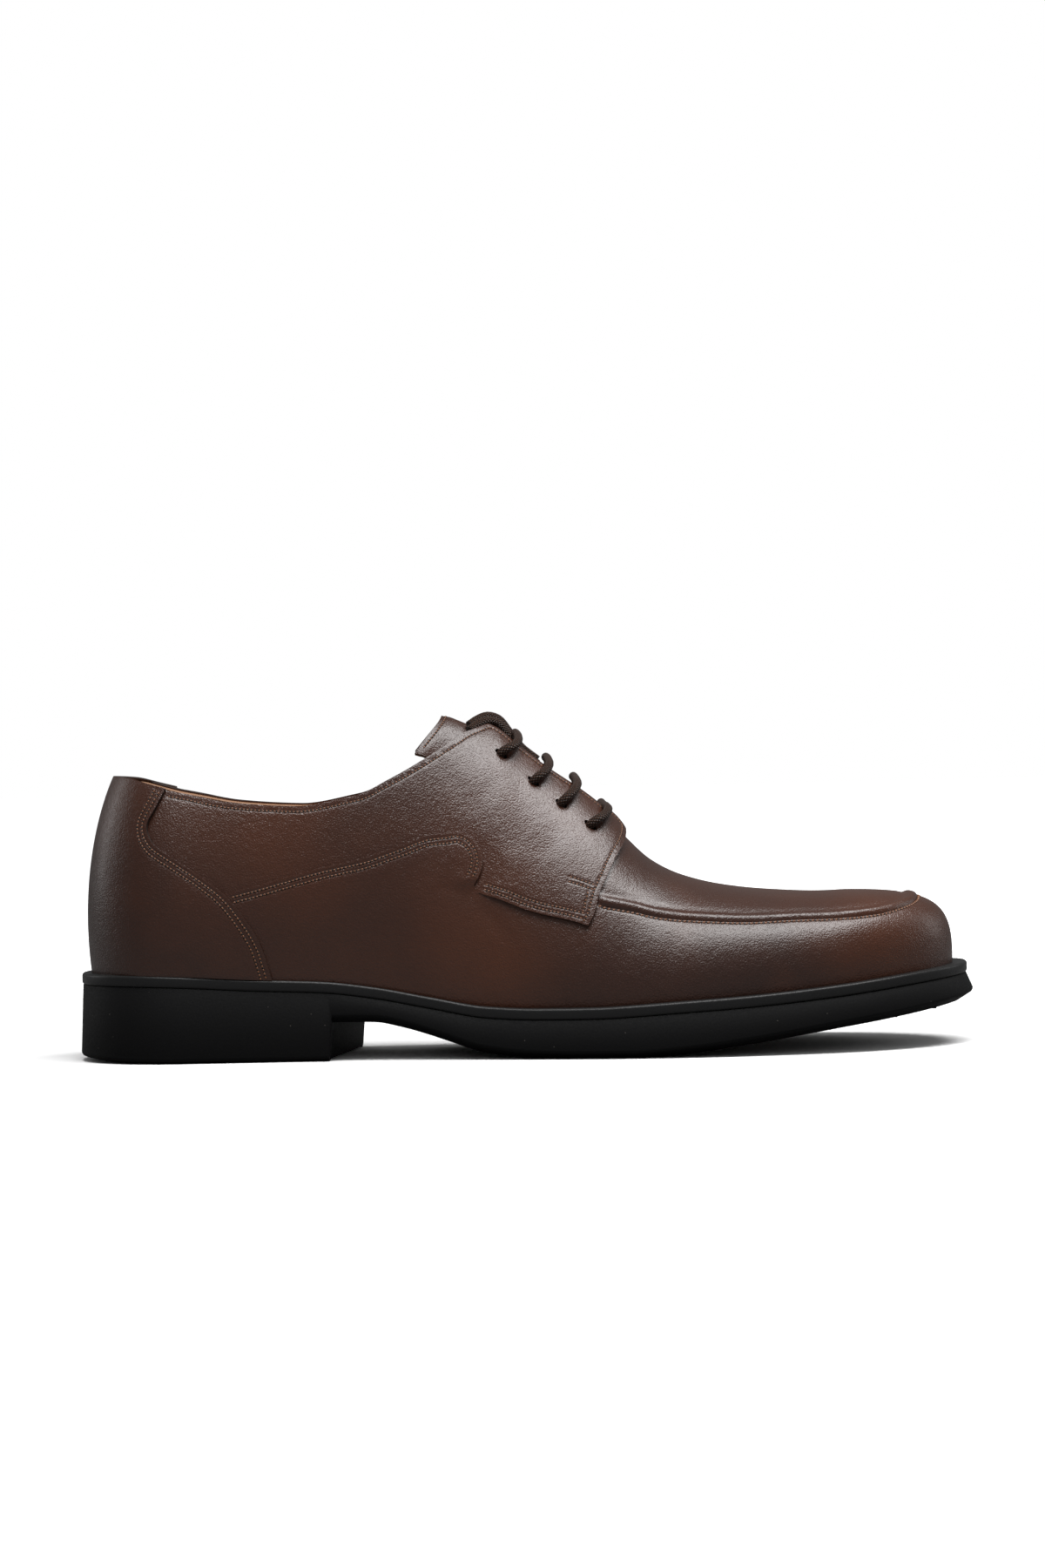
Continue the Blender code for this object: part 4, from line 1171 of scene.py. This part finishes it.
def seam_height(u):
    return np.interp(u * WIDE, seam_flat[:, 0], seam_flat[:, 1]) / TALL


def above_seam(u, side, t):
    """Distance up the rib from the apron's seam."""
    return length_above(u, side, seam_height(u)) - length_above(u, side, t)


# distance above the seam and height over the last, in millimetres
RIDGE = np.array([
    (0.0, -0.30), (0.3, -0.05), (0.7, 0.35), (1.2, 0.70), (1.8, 0.90), (2.4, 0.92), (3.0, 0.74),
    (3.6, 0.38), (4.1, 0.08), (4.6, -0.12), (5.2, -0.18), (6.0, -0.10), (7.5, 0.0), (9.0, 0.0),
])


def apron_out(u, side, t):
    away = above_seam(u, side, t)
    shown = ease(place(u), 0.572 * LENGTH, 0.584 * LENGTH)
    return column(RIDGE, 1, away / MM) * MM * shown


seam_outer = seam_flat[seam_flat[:, 0] > on_pattern(0.572, 0.0)[0]]
seam_u, seam_t = seam_outer[:, 0] / WIDE, seam_outer[:, 1] / TALL
run_rows = []
for away in (0.0, 0.5, 1.0, 1.5, 2.0, 2.5, 3.0, 3.5, 4.0, 4.5, 5.2, 6.2):
    both = []
    for side in SIDES:
        sides = np.full(len(seam_u), side)
        t_grid, to_top = rib_lengths(seam_u, sides)
        t = read_rows(length_above(seam_u, sides, seam_t) - away * MM, t_grid, to_top)
        both.append(to_chart(seam_u, sides, t))
    run_rows.append(even(on_round(*both), 0.85 * MM))
THROAT_ROUND = 6.5 * MM
turn = np.linspace(np.pi / 2, -np.pi / 2, 24)
around = np.stack([np.cos(turn), np.sin(turn)], -1) * THROAT_ROUND
throat = around + np.array([THROAT_FRONT - THROAT_ROUND, 0.0])
rear, front = run_rows[0][-1], run_rows[0][0]
up = even(np.array([rear, [rear[0], THROAT_ROUND], throat[0]]), 1.0 * MM)
down = even(np.array([throat[-1], [front[0], -THROAT_ROUND], front]), 1.0 * MM)
outline = join(run_rows[0], up, throat, down)
apron_flat, apron_faces = cut_pattern(outline, rows=run_rows[1:], spacing=1.2 * MM)
u, side, t = from_chart(apron_flat)
spots = skin(u, side, t, apron_out(u, side, t))
apron = leather_piece("apron_leather", spots, apron_faces, VAMP_WALL, edge=0.25 * MM)
print("apron triangles:", len(apron.data.polygons))

# %% [markdown]
# ## Lining, footbed and tongue
#
# The lining and the tongue are simple sheets, so each one starts as a grid primitive
# whose rows and columns are moved onto the last, and Solidify gives it its wall.
# The footbed is a stack of rings, like the sole.


# %% Grids on the last
def grid_piece(name, spots, thickness, flip=False):
    """A grid primitive laid on rows of points and given a wall."""
    rows, columns = spots.shape[:2]
    start_fresh()
    bpy.ops.mesh.primitive_grid_add(x_subdivisions=columns - 1, y_subdivisions=rows - 1)
    made = bpy.context.object
    made.name = name
    made.data.vertices.foreach_set("co", spots.reshape(-1))
    made.data.update()
    bpy.ops.object.mode_set(mode="EDIT")
    bpy.ops.mesh.select_all(action="SELECT")
    bpy.ops.mesh.remove_doubles(threshold=0.02 * MM)
    if flip:
        bpy.ops.mesh.flip_normals()
    bpy.ops.object.mode_set(mode="OBJECT")
    give_wall(made, thickness, 0.45 * MM)
    return made


def lining_columns(side, count=130, levels=40):
    """Columns of the lining from the heel to the toe, foot to top."""
    u = np.linspace(0.0, 1.0, count + 1)
    corners = np.array([0.4797, 0.5800, 0.5906, 0.5912])
    u = np.unique(np.concatenate([u, rib_at(corners * LENGTH)]))
    share = place(u) / LENGTH
    sides = np.full(len(u), side)
    top = np.where(share < 0.591, topline(np.minimum(share, 0.590), sides), 1.0)
    collar = reach(u, sides, column(RIBS, 5, share) * BACK_RISE - 0.4 * MM)
    top = np.where(share < 0.46, collar, top)
    levels = np.linspace(0.0, 1.0, levels + 1)[:, None]
    t = top[None, :] * levels**0.95
    uu = np.broadcast_to(u, t.shape)
    hollow = ease(share, 0.53, 0.58) * (1 - ease(share, 0.66, 0.73))
    out = -(1.25 + 0.7 * hollow + 0.35 * ease(share, 0.42, 0.50)) * MM
    return skin(uu, np.full(t.shape, side), t, np.broadcast_to(out, t.shape))


both = np.concatenate([lining_columns(OUTER), lining_columns(INNER)[:, ::-1][:, 1:]], 1)
LINING_WALL, TONGUE_WALL = 1.6 * MM, 1.8 * MM
lining = grid_piece("lining_leather", both, LINING_WALL)
print("lining faces:", len(lining.data.polygons))


# %% Footbed
def bed_ring(inset, rise):
    def height(u, x):
        return ledge_height(x) + rise

    return ring(lambda u: flare(u) + ledge(u) + inset, height)


# inset and rise in millimetres
BED = [(9.0, 0.3), (4.4, 0.3), (3.9, 0.8), (3.9, 2.6), (4.3, 3.3), (5.4, 3.5), (12.0, 3.5)]
loops = [bed_ring(inset * MM, rise * MM) for inset, rise in BED]
footbed = ring_stack("footbed", loops)
sharp_over(footbed, 60)
print("footbed faces:", len(footbed.data.polygons))


# %% Tongue
TONGUE_TOP, TONGUE_ROUND = 0.4165, 0.0327
TONGUE_CURL = 0.7 * MM


def tongue_grid(steps=90, spread=48):
    across = np.linspace(-1.0, 1.0, spread + 1)
    side = side_of(across)
    start = (TONGUE_TOP - TONGUE_ROUND * np.abs(across) ** 2.3) * LENGTH
    k = np.linspace(0.0, 1.0, steps + 1)[:, None]
    u = rib_at(mix(start[None, :], 0.609 * LENGTH, k))
    t = np.broadcast_to(1 - 0.36 * np.abs(across), u.shape)
    free = 1 - ease(place(u), FACING_TOP - 12 * MM, FACING_TOP + 4 * MM)
    sink = 3.6 * MM * free * across[None, :] ** 2
    sink = sink + 0.6 * MM * ease(place(u), 0.48 * LENGTH, 0.54 * LENGTH)
    hollow = ease(place(u) / LENGTH, 0.53, 0.58)
    curl = TONGUE_CURL * (1 - ease(place(u) - start[None, :], 0.0, 4 * MM)) ** 2
    out = -(4.0 + 0.5 * hollow) * MM - sink - curl
    return skin(u, np.broadcast_to(side, u.shape), t, out)


tongue_spots = tongue_grid()
tongue = grid_piece("tongue_leather", tongue_spots, TONGUE_WALL, flip=True)
print("tongue faces:", len(tongue.data.polygons))

# %% [markdown]
# ## Lace
#
# The lace is a round waxed cord of 3.1 mm. It comes up through each hole, leans
# forward over the edge of the facing and crosses straight to the other side;
# under the facings it slants back to the next pair of holes. A tube that carries
# its own map lets the braid follow the cord.

# %% Tubes
LACE = 3.1 * MM


def tube(name, line, radius, sides=14):
    """A round tube along a line, with a map that runs along it in metres."""
    line = np.asarray(line, float)
    run = run_along(line)
    ways = unit(np.gradient(line, axis=0))
    across = unit(np.cross(ways[0], [0.3, 0.5, 0.8]))
    work = bmesh.new()
    layer = work.loops.layers.uv.new("along")
    turn = np.linspace(0.0, 2 * np.pi, sides, endpoint=False)
    rings = []
    for spot, way in zip(line, ways):
        across = unit(across - way * np.dot(across, way))
        up = np.cross(way, across)
        circle = spot + radius * (np.cos(turn)[:, None] * across + np.sin(turn)[:, None] * up)
        rings.append([work.verts.new(p) for p in circle])
    for k in range(len(rings) - 1):
        for i in range(sides):
            j = (i + 1) % sides
            face = work.faces.new([rings[k][i], rings[k][j], rings[k + 1][j], rings[k + 1][i]])
            spots = ((i, k), (i + 1, k), (i + 1, k + 1), (i, k + 1))
            for loop, (a, b) in zip(face.loops, spots):
                loop[layer].uv = (a / sides, run[b])
    work.faces.new(rings[0][::-1])
    work.faces.new(rings[-1])
    bmesh.ops.recalc_face_normals(work, faces=work.faces)
    data = bpy.data.meshes.new(name)
    work.to_mesh(data)
    work.free()
    data.shade_smooth()
    return add_to_scene(name, data)


# %% Bars over the throat
BAR_LEAN = 4.6 * MM
# share of the lean, share of the way to the middle, height over the last in millimetres
BAR_WAY = [
    (-0.02, -0.01, -4.4), (0.0, 0.0, -2.2), (0.0, 0.0, 0.6), (0.25, 0.05, 2.7),
    (0.60, 0.16, 3.1), (0.90, 0.36, 2.7), (1.00, 0.62, 1.9), (1.00, 1.0, 0.9),
]


def bar_half(share, t_hole, side):
    """A bar's way from under its hole up to the middle of the throat."""
    line = []
    for lean, up, out in BAR_WAY:
        x = share * LENGTH + BAR_LEAN * lean
        t = mix(t_hole, 1.0, up)
        u = float(rib_at(x))
        raised = float(quarter_out(u, side, t_hole)) if up < 0.5 else 0.6 * MM
        line.append(skin(u, side, t, out * MM + raised))
    return line


bars = []
for index, (share, t_hole) in enumerate(EYELETS):
    line = on_round(*(bar_half(share, t_hole, side) for side in SIDES))
    bars.append(tube(f"lace_over_{index + 1}", smooth_line(line, 0.7 * MM), LACE / 2))
under = []
for index in range(3):
    a, b = EYELETS[index], EYELETS[index + 1]
    for side in SIDES:
        line = []
        for s in np.linspace(0.0, 1.0, 9):
            u = float(rib_at(mix(a[0], b[0], s) * LENGTH))
            t = 1.0 - abs(1.0 - 2.0 * s) * (1.0 - mix(a[1], b[1], s))
            here = side if s < 0.5 else -side
            apart = 0.9 * (side > 0) * (1 - abs(1 - 2 * s))
            line.append(skin(u, here, t, (-4.7 - apart) * MM))
        name = f"lace_under_{index + 1}_{'a' if side < 0 else 'b'}"
        under.append(tube(name, smooth_line(line, 1.2 * MM), LACE / 2, 10))
print("bars:", len(bars), "crossings under them:", len(under))

# %% Ends of the lace
# the second end lies higher than the first by this share of the gap between them
END_STEP = 0.38
# place share, height on the rib, height over the last and gap between the two ends
LACE_END = [
    (0.5200, 0.945, -1.9, 3.6), (0.5020, 0.948, -1.8, 3.6), (0.4860, 0.940, -0.4, 3.6),
    (0.4720, 0.930, 0.8, 3.8), (0.4600, 0.900, 0.6, 4.2), (0.4500, 0.860, -0.8, 4.5),
    (0.4420, 0.815, -1.9, 4.6),
]
lace_ends = []
for index in range(2):
    line = []
    for share, t, out, apart in LACE_END:
        spot = skin(float(rib_at(share * LENGTH)), OUTER, t, out * MM)
        line.append(spot + np.array([0.0, 1.0, END_STEP]) * apart * MM * index)
    line = smooth_line(line, 1.3 * MM)
    end = tube(f"lace_tail_{index + 1}", line, LACE / 2)
    lace_ends.append(end)

# %% [markdown]
# ## Stitching
#
# Thread lies in short, plump lengths between needle holes, whose shade is painted
# as small dark blobs on the leather. One stitch and one dark blob are modelled and
# then copied along every row. A row is a seam's own line, moved inwards over the
# leather, so the stitches follow the edge exactly.


# %% One stitch and one dark blob of painted hole shade
PITCH, APRON_PITCH = 1.3 * MM, 1.6 * MM
THREAD, APRON_THREAD = 0.27 * MM, 0.38 * MM
STITCH_SHARE = 0.36
STITCH_LIFT = 0.06 * MM
# size of the dark blob that paints the shade inside each needle hole
HOLE_SIZE = np.array([0.46, 0.54, 0.15]) * MM


def primitive_points(name):
    """Takes the points and faces out of the primitive that was just added."""
    made = bpy.context.object
    data = made.data
    points = np.array([v.co for v in data.vertices])
    faces = [tuple(f.vertices) for f in data.polygons]
    bpy.data.objects.remove(made, do_unlink=True)
    bpy.data.meshes.remove(data)
    print(name, "has", len(faces), "faces")
    return points, faces


start_fresh()
bpy.ops.mesh.primitive_uv_sphere_add(segments=8, ring_count=6, radius=1.0)
bpy.context.object.data.transform(Matrix.Rotation(math.radians(90.0), 4, "Y"))
STITCH = primitive_points("stitch")
# the needle hole: a small dark blob, painted shade where the thread goes in
bpy.ops.mesh.primitive_ico_sphere_add(subdivisions=1, radius=1.0)
HOLE_SHADE_FORM = primitive_points("needle hole")


# %% Rows over the leather
surfaces = {}
thread_rows = []


def on_leather(piece, spots):
    """The nearest points of a finished piece, and its directions there."""
    if piece.name not in surfaces:
        points = [v.co for v in piece.data.vertices]
        faces = [tuple(f.vertices) for f in piece.data.polygons]
        surfaces[piece.name] = BVHTree.FromPolygons(points, faces)
    found = [surfaces[piece.name].find_nearest(Vector(p)) for p in spots]
    return np.array([f[0] for f in found]), np.array([f[1] for f in found])


def row(piece, line, pitch=PITCH, slant=0.0, thick=THREAD):
    """Marks a row of stitches on a piece, along its furrow."""
    line = even(line, 0.3 * MM)
    run = run_along(line)
    at = np.arange(int(run[-1] / pitch) + 1) * pitch
    ends, ups = on_leather(piece, read_line(at, run, line))
    thread_rows.append((ends, ups, slant, thick))


for side in SIDES:
    for line in quarter_rows(side):
        row(quarters[side], line)
    for line in wing_rows(side):
        row(vamp, line)
    for line in counter_rows(side):
        row(counter, line)
row(tongue, smooth_line(tongue_spots[2, 2:-2], 1.0 * MM))
row(vamp, apron_row(), pitch=APRON_PITCH, slant=30.0, thick=APRON_THREAD)
print("rows of stitches:", len(thread_rows))


# %% Sew
def sew(name, form, spots, frames, sizes):
    """Copies a small form to many places and joins the copies in one mesh."""
    points, faces = form
    shaped = points[None] * sizes[:, None]
    placed = np.einsum("nij,nkj->nki", frames, shaped) + spots[:, None]
    firsts = range(0, len(spots) * len(points), len(points))
    copies = [tuple(k + first for k in f) for first in firsts for f in faces]
    made = mesh_from(name, placed.reshape(-1, 3), copies)
    made.data.shade_smooth()
    return made


stitch_spots, stitch_frames, stitch_sizes = [], [], []
hole_spots, hole_frames = [], []
for ends, ups, slant, thick in thread_rows:
    ways = unit(np.diff(ends, axis=0))
    up = unit(ups[1:] + ups[:-1])
    side_way = unit(np.cross(up, ways))
    lean = math.radians(slant)
    ahead = ways * math.cos(lean) + side_way * math.sin(lean)
    left = unit(np.cross(up, ahead))
    spans = np.linalg.norm(np.diff(ends, axis=0), axis=1)
    stitch_spots.append((ends[1:] + ends[:-1]) / 2 + up * STITCH_LIFT)
    stitch_frames.append(np.stack([ahead, left, up], -1))
    wide = np.full(len(spans), thick)
    stitch_sizes.append(np.stack([spans * STITCH_SHARE, wide, wide * 0.85], -1))
    hole_spots.append(ends[1:-1])
    hole_frames.append(np.stack([ahead[1:], left[1:], up[1:]], -1))
stitch_spots, stitch_frames = np.concatenate(stitch_spots), np.concatenate(stitch_frames)
stitching = sew("stitching", STITCH, stitch_spots, stitch_frames, np.concatenate(stitch_sizes))
hole_spots, hole_frames = np.concatenate(hole_spots), np.concatenate(hole_frames)
hole_sizes = np.broadcast_to(HOLE_SIZE, hole_spots.shape)
# dark blobs at every needle hole: painted shade
needle_hole_shade = sew("needle_hole_shade", HOLE_SHADE_FORM, hole_spots, hole_frames, hole_sizes)
print("stitches:", len(stitch_spots), "holes:", len(hole_spots))

# %% [markdown]
# ## Tread
#
# The underside has a shallow field inside its rim, with low wavy ribs across it.
# Each rib is the same short bar, laid from rim to rim at its own place.


# %% Ribs under the sole
RIB_GAP = 4.6
RIB_RIM = 7.2 * MM
WAVE, WAVE_LENGTH = 1.3 * MM, 9.0 * MM
RIB_POINTS = 37


def tread_rib(x):
    """One wavy bar across the sole, in four rows of points: two at its root and two
    at its face."""
    u = rib_at(x)
    near, far = (float(edge_point(u, side)[1]) - side * RIB_RIM for side in SIDES)
    y = np.linspace(near, far, RIB_POINTS)
    wave = x + WAVE * np.sin(y / WAVE_LENGTH * 2 * math.pi)
    level = tread_height(u, np.full(RIB_POINTS, x))
    root, face = TREAD_DEPTH + 0.1 * MM, 0.05 * MM
    corners = ((-1.3, root), (1.3, root), (1.0, face), (-1.0, face))
    return np.stack([np.stack([wave + w * MM, y, level + up], -1) for w, up in corners], 1) + SHIFT


tread_points, tread_faces = [], []
for x in np.arange(12.0, 292.0, RIB_GAP) * MM:
    if HEEL_BREAST - 8 * MM < x < 0.545 * LENGTH:
        continue
    bar = tread_rib(x).reshape(-1, 4, 3)
    start = 4 * sum(len(b) for b in tread_points)
    end = start + 4 * (len(bar) - 1)
    tread_points.append(bar)
    for first in range(start, end, 4):
        for c in range(4):
            d = (c + 1) % 4
            tread_faces.append([first + c, first + d, first + 4 + d, first + 4 + c])
    tread_faces.append([start + 3, start + 2, start + 1, start])
    tread_faces.append([end, end + 1, end + 2, end + 3])
tread = mesh_from("tread_ribs", np.concatenate(tread_points).reshape(-1, 3), tread_faces)
print("tread ribs:", len(tread_points))

# %% [markdown]
# ## Leather, rubber and cord
#
# Polished calf is a smooth brown with a fine grain, darker in random burnished clouds
# and redder where it is stretched. The grain and the burnish are node groups, so every
# leather shares them, and the shader stays in each material.


# %% Fine grain of calf
grain, given, put = new_group("calf_grain", {"Pebble": 1.0, "Pore": 1.0}, ["Height", "Pits"])
spot = object_spot(grain)
cells = {"Vector": spot, "Scale": 1900.0, "Smoothness": 0.6}
pebble = add_node(grain, "ShaderNodeTexVoronoi", cells, feature="SMOOTH_F1")
fine = noise(grain, spot, 2600.0, 3.0)
wrinkle = noise(grain, spot, 420.0, 4.0)
low = maths(grain, "MULTIPLY", pebble.outputs["Distance"], given.outputs["Pebble"])
high = maths(grain, "MULTIPLY", fine, given.outputs["Pore"])
soft = maths(grain, "MULTIPLY", wrinkle, 0.7)
total = maths(grain, "MULTIPLY", low, -0.55)
total = maths(grain, "ADD", total, maths(grain, "MULTIPLY", high, 0.35))
pits = stretch(grain, fine, 0.62, 0.72)
feed(put, {"Height": maths(grain, "ADD", total, soft), "Pits": pits})
print("grain nodes:", len(grain.nodes))

# %% Burnish
# middle and reach of each spot where the leather is stretched and glows redder
GLOWS = [((-0.090, 0.0, 0.078), 0.040), ((0.118, 0.0, 0.040), 0.030), ((-0.01, 0.0, 0.030), 0.034)]
burnish, given, put = new_group("burnish", {"Seed": 0.0}, ["Dark", "Red"])
spot = object_spot(burnish)
shift = add_node(burnish, "ShaderNodeCombineXYZ", {0: given.outputs["Seed"]}).outputs[0]
moved = vector_maths(burnish, "ADD", spot, shift)[0]
cloud = noise(burnish, moved, 17.0, 3.0)
patch = noise(burnish, moved, 34.0, 2.0)
flat_spot = vector_maths(burnish, "MULTIPLY", spot, (1.0, 0.0, 1.0))[0]
glow = stretch(burnish, patch, 0.46, 0.72, 0.0, 0.6)
for middle, radius in GLOWS:
    gap = vector_maths(burnish, "DISTANCE", flat_spot, middle)["Value"]
    near = stretch(burnish, gap, radius * 1.3, 0.0, 0.0, 0.9)
    glow = maths(burnish, "MAXIMUM", glow, near)
dark = stretch(burnish, cloud, 0.35, 0.68)
unlit = stretch(burnish, glow, 0.0, 1.0, 1.0, 0.25)
feed(put, {"Dark": maths(burnish, "MULTIPLY", dark, unlit), "Red": glow})
print("burnish nodes:", len(burnish.nodes))


# %% Leather material
def leather(name, dark, mid, red, seed, roughness=0.34):
    made, tree, shader = node_material(name)
    shade = add_node(tree, "ShaderNodeGroup", node_tree=burnish)
    feed(shade, {"Seed": seed})
    calf_grain = add_node(tree, "ShaderNodeGroup", node_tree=grain)
    pits = maths(tree, "MULTIPLY", calf_grain.outputs["Pits"], 0.35)
    tone = mix_colour(tree, shade.outputs["Red"], mid, red)
    tone = mix_colour(tree, shade.outputs["Dark"], tone, dark)
    low, high = roughness - 0.04, roughness + 0.06
    feed(shader, {
        "Base Color": mix_colour(tree, pits, tone, dark),
        "Roughness": stretch(tree, shade.outputs["Dark"], 0.0, 1.0, low, high),
        "Normal": bump(tree, calf_grain.outputs["Height"], 0.20 * MM),
        "Specular IOR Level": 0.52,
        "Coat Weight": 0.12,
        "Coat Roughness": 0.25,
    })
    return made


CALF_DARK = (0.0190, 0.0062, 0.0034)
CALF_MID = (0.0440, 0.0142, 0.0070)
CALF_RED = (0.0720, 0.0212, 0.0080)
calf = leather("calf_brown", CALF_DARK, CALF_MID, CALF_RED, 0.0)
TAN_DARK = (0.17, 0.085, 0.045)
TAN_MID = (0.26, 0.14, 0.075)
TAN_RED = (0.30, 0.15, 0.075)
lining_calf = leather("lining_tan", TAN_DARK, TAN_MID, TAN_RED, 0.3, 0.55)
print("leathers:", calf.name, lining_calf.name)


# %% Rubber, cord and thread
def rubber_finish(name, colour, roughness, specks, gloss):
    """Moulded rubber: a fine matt grain with tiny pale specks of dust."""
    made, tree, shader = node_material(name)
    spot = object_spot(tree)
    fine = noise(tree, spot, 1500.0, 3.0)
    cells = add_node(tree, "ShaderNodeTexVoronoi", {"Vector": spot, "Scale": 210.0})
    dust = stretch(tree, cells.outputs["Distance"], 0.045, 0.03)
    dust = maths(tree, "MULTIPLY", dust, specks)
    feed(shader, {
        "Base Color": mix_colour(tree, dust, colour, (0.10, 0.09, 0.08)),
        "Roughness": stretch(tree, fine, 0.3, 0.7, roughness - 0.06, roughness + 0.08),
        "Normal": bump(tree, fine, 0.05 * MM),
        "Specular IOR Level": gloss,
    })
    return made


def cord_finish(name, dark, light):
    """A braided, waxed cord: two sets of strands that cross, from the tube's own map, with painted
    shade in the grooves between strands.
    """
    made, tree, shader = node_material(name)
    along = add_node(tree, "ShaderNodeUVMap", uv_map="along").outputs["UV"]
    parts = add_node(tree, "ShaderNodeSeparateXYZ", {0: along})
    turn = maths(tree, "MULTIPLY", parts.outputs[0], 2 * math.pi * STRANDS)
    run = maths(tree, "MULTIPLY", parts.outputs[1], 2 * math.pi / BRAID_PITCH)
    one, two = (
        maths(tree, "ABSOLUTE", maths(tree, "SINE", maths(tree, way, turn, run)))
        for way in ("ADD", "SUBTRACT")
    )
    braid = maths(tree, "MULTIPLY", one, two)
    feed(shader, {
        # the braid's relief also sets the colour: painted shade in the grooves between strands,
        # lighter on their crowns
        "Base Color": mix_colour(tree, braid, dark, light),
        "Roughness": 0.42,
        "Normal": bump(tree, braid, 0.45 * MM),
        "Specular IOR Level": 0.30,
    })
    return made


STRANDS = 4
BRAID_PITCH = 2.2 * MM
rubber = rubber_finish("rubber_black", (0.0034, 0.0034, 0.0036), 0.60, 0.6, 0.11)
band = rubber_finish("band_black", (0.0100, 0.0100, 0.0103), 0.40, 0.1, 0.24)
# groove and crown colours of the cord: painted shade between the strands
cord = cord_finish("cord_waxed", (0.009, 0.0042, 0.0028), (0.060, 0.028, 0.016))
thread = plain_material("thread_tan", (0.160, 0.066, 0.030), 0.45)
# dark edge ink on the cut rims: partly the real edge dye, partly painted shade standing in for the
# shadow line along overlapping edges
edge_ink_and_shade = plain_material("edge_ink_and_shade", (0.014, 0.0065, 0.0042), 0.5)
# near black: painted shade inside the needle holes
hole_shade = plain_material("painted_hole_shade", (0.006, 0.003, 0.002), 0.8)

# %% [markdown]
# ## Dress the frame
#
# Every piece gets its material and rides on the frame's one body, so it stays where
# the solid is. A piece that names the solid it replaces takes that solid's place in
# the render; stitches, the dark blobs of painted shade at the needle holes and the
# tread are added to what is there.

# %% Materials and bodies
dressed = {
    midsole: (band, ["midsole"]),
    outsole: (rubber, ["outsole"]),
    footbed: (lining_calf, ["insole"]),
    lining: (lining_calf, ["upper"]),
    tongue: (calf, ["tongue"]),
    counter: (calf, ["counter"]),
    quarters[OUTER]: (calf, ["quarter_outer"]),
    quarters[INNER]: (calf, ["quarter_inner"]),
    vamp: (calf, ["vamp"]),
    apron: (calf, ["apron"]),
}
for index, bar in enumerate(bars):
    dressed[bar] = (cord, [f"lace_bar_{index + 1}"])
for index, end in enumerate(lace_ends):
    dressed[end] = (cord, [f"lace_end_{index + 1}"])
for strand in under:
    dressed[strand] = (cord, [])
dressed[tread] = (rubber, [])
dressed[stitching] = (thread, [])
dressed[needle_hole_shade] = (hole_shade, [])
for piece, (finish, nodes) in dressed.items():
    slots = piece.data.materials
    # leather takes its finish, and its cut rim the dark edge ink with painted shade
    if len(slots) == 2:
        slots[0], slots[1] = finish, edge_ink_and_shade
    else:
        slots.clear()
        slots.append(finish)
    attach(piece, "root")
    if nodes:
        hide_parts(*nodes)
print("pieces:", len(dressed))
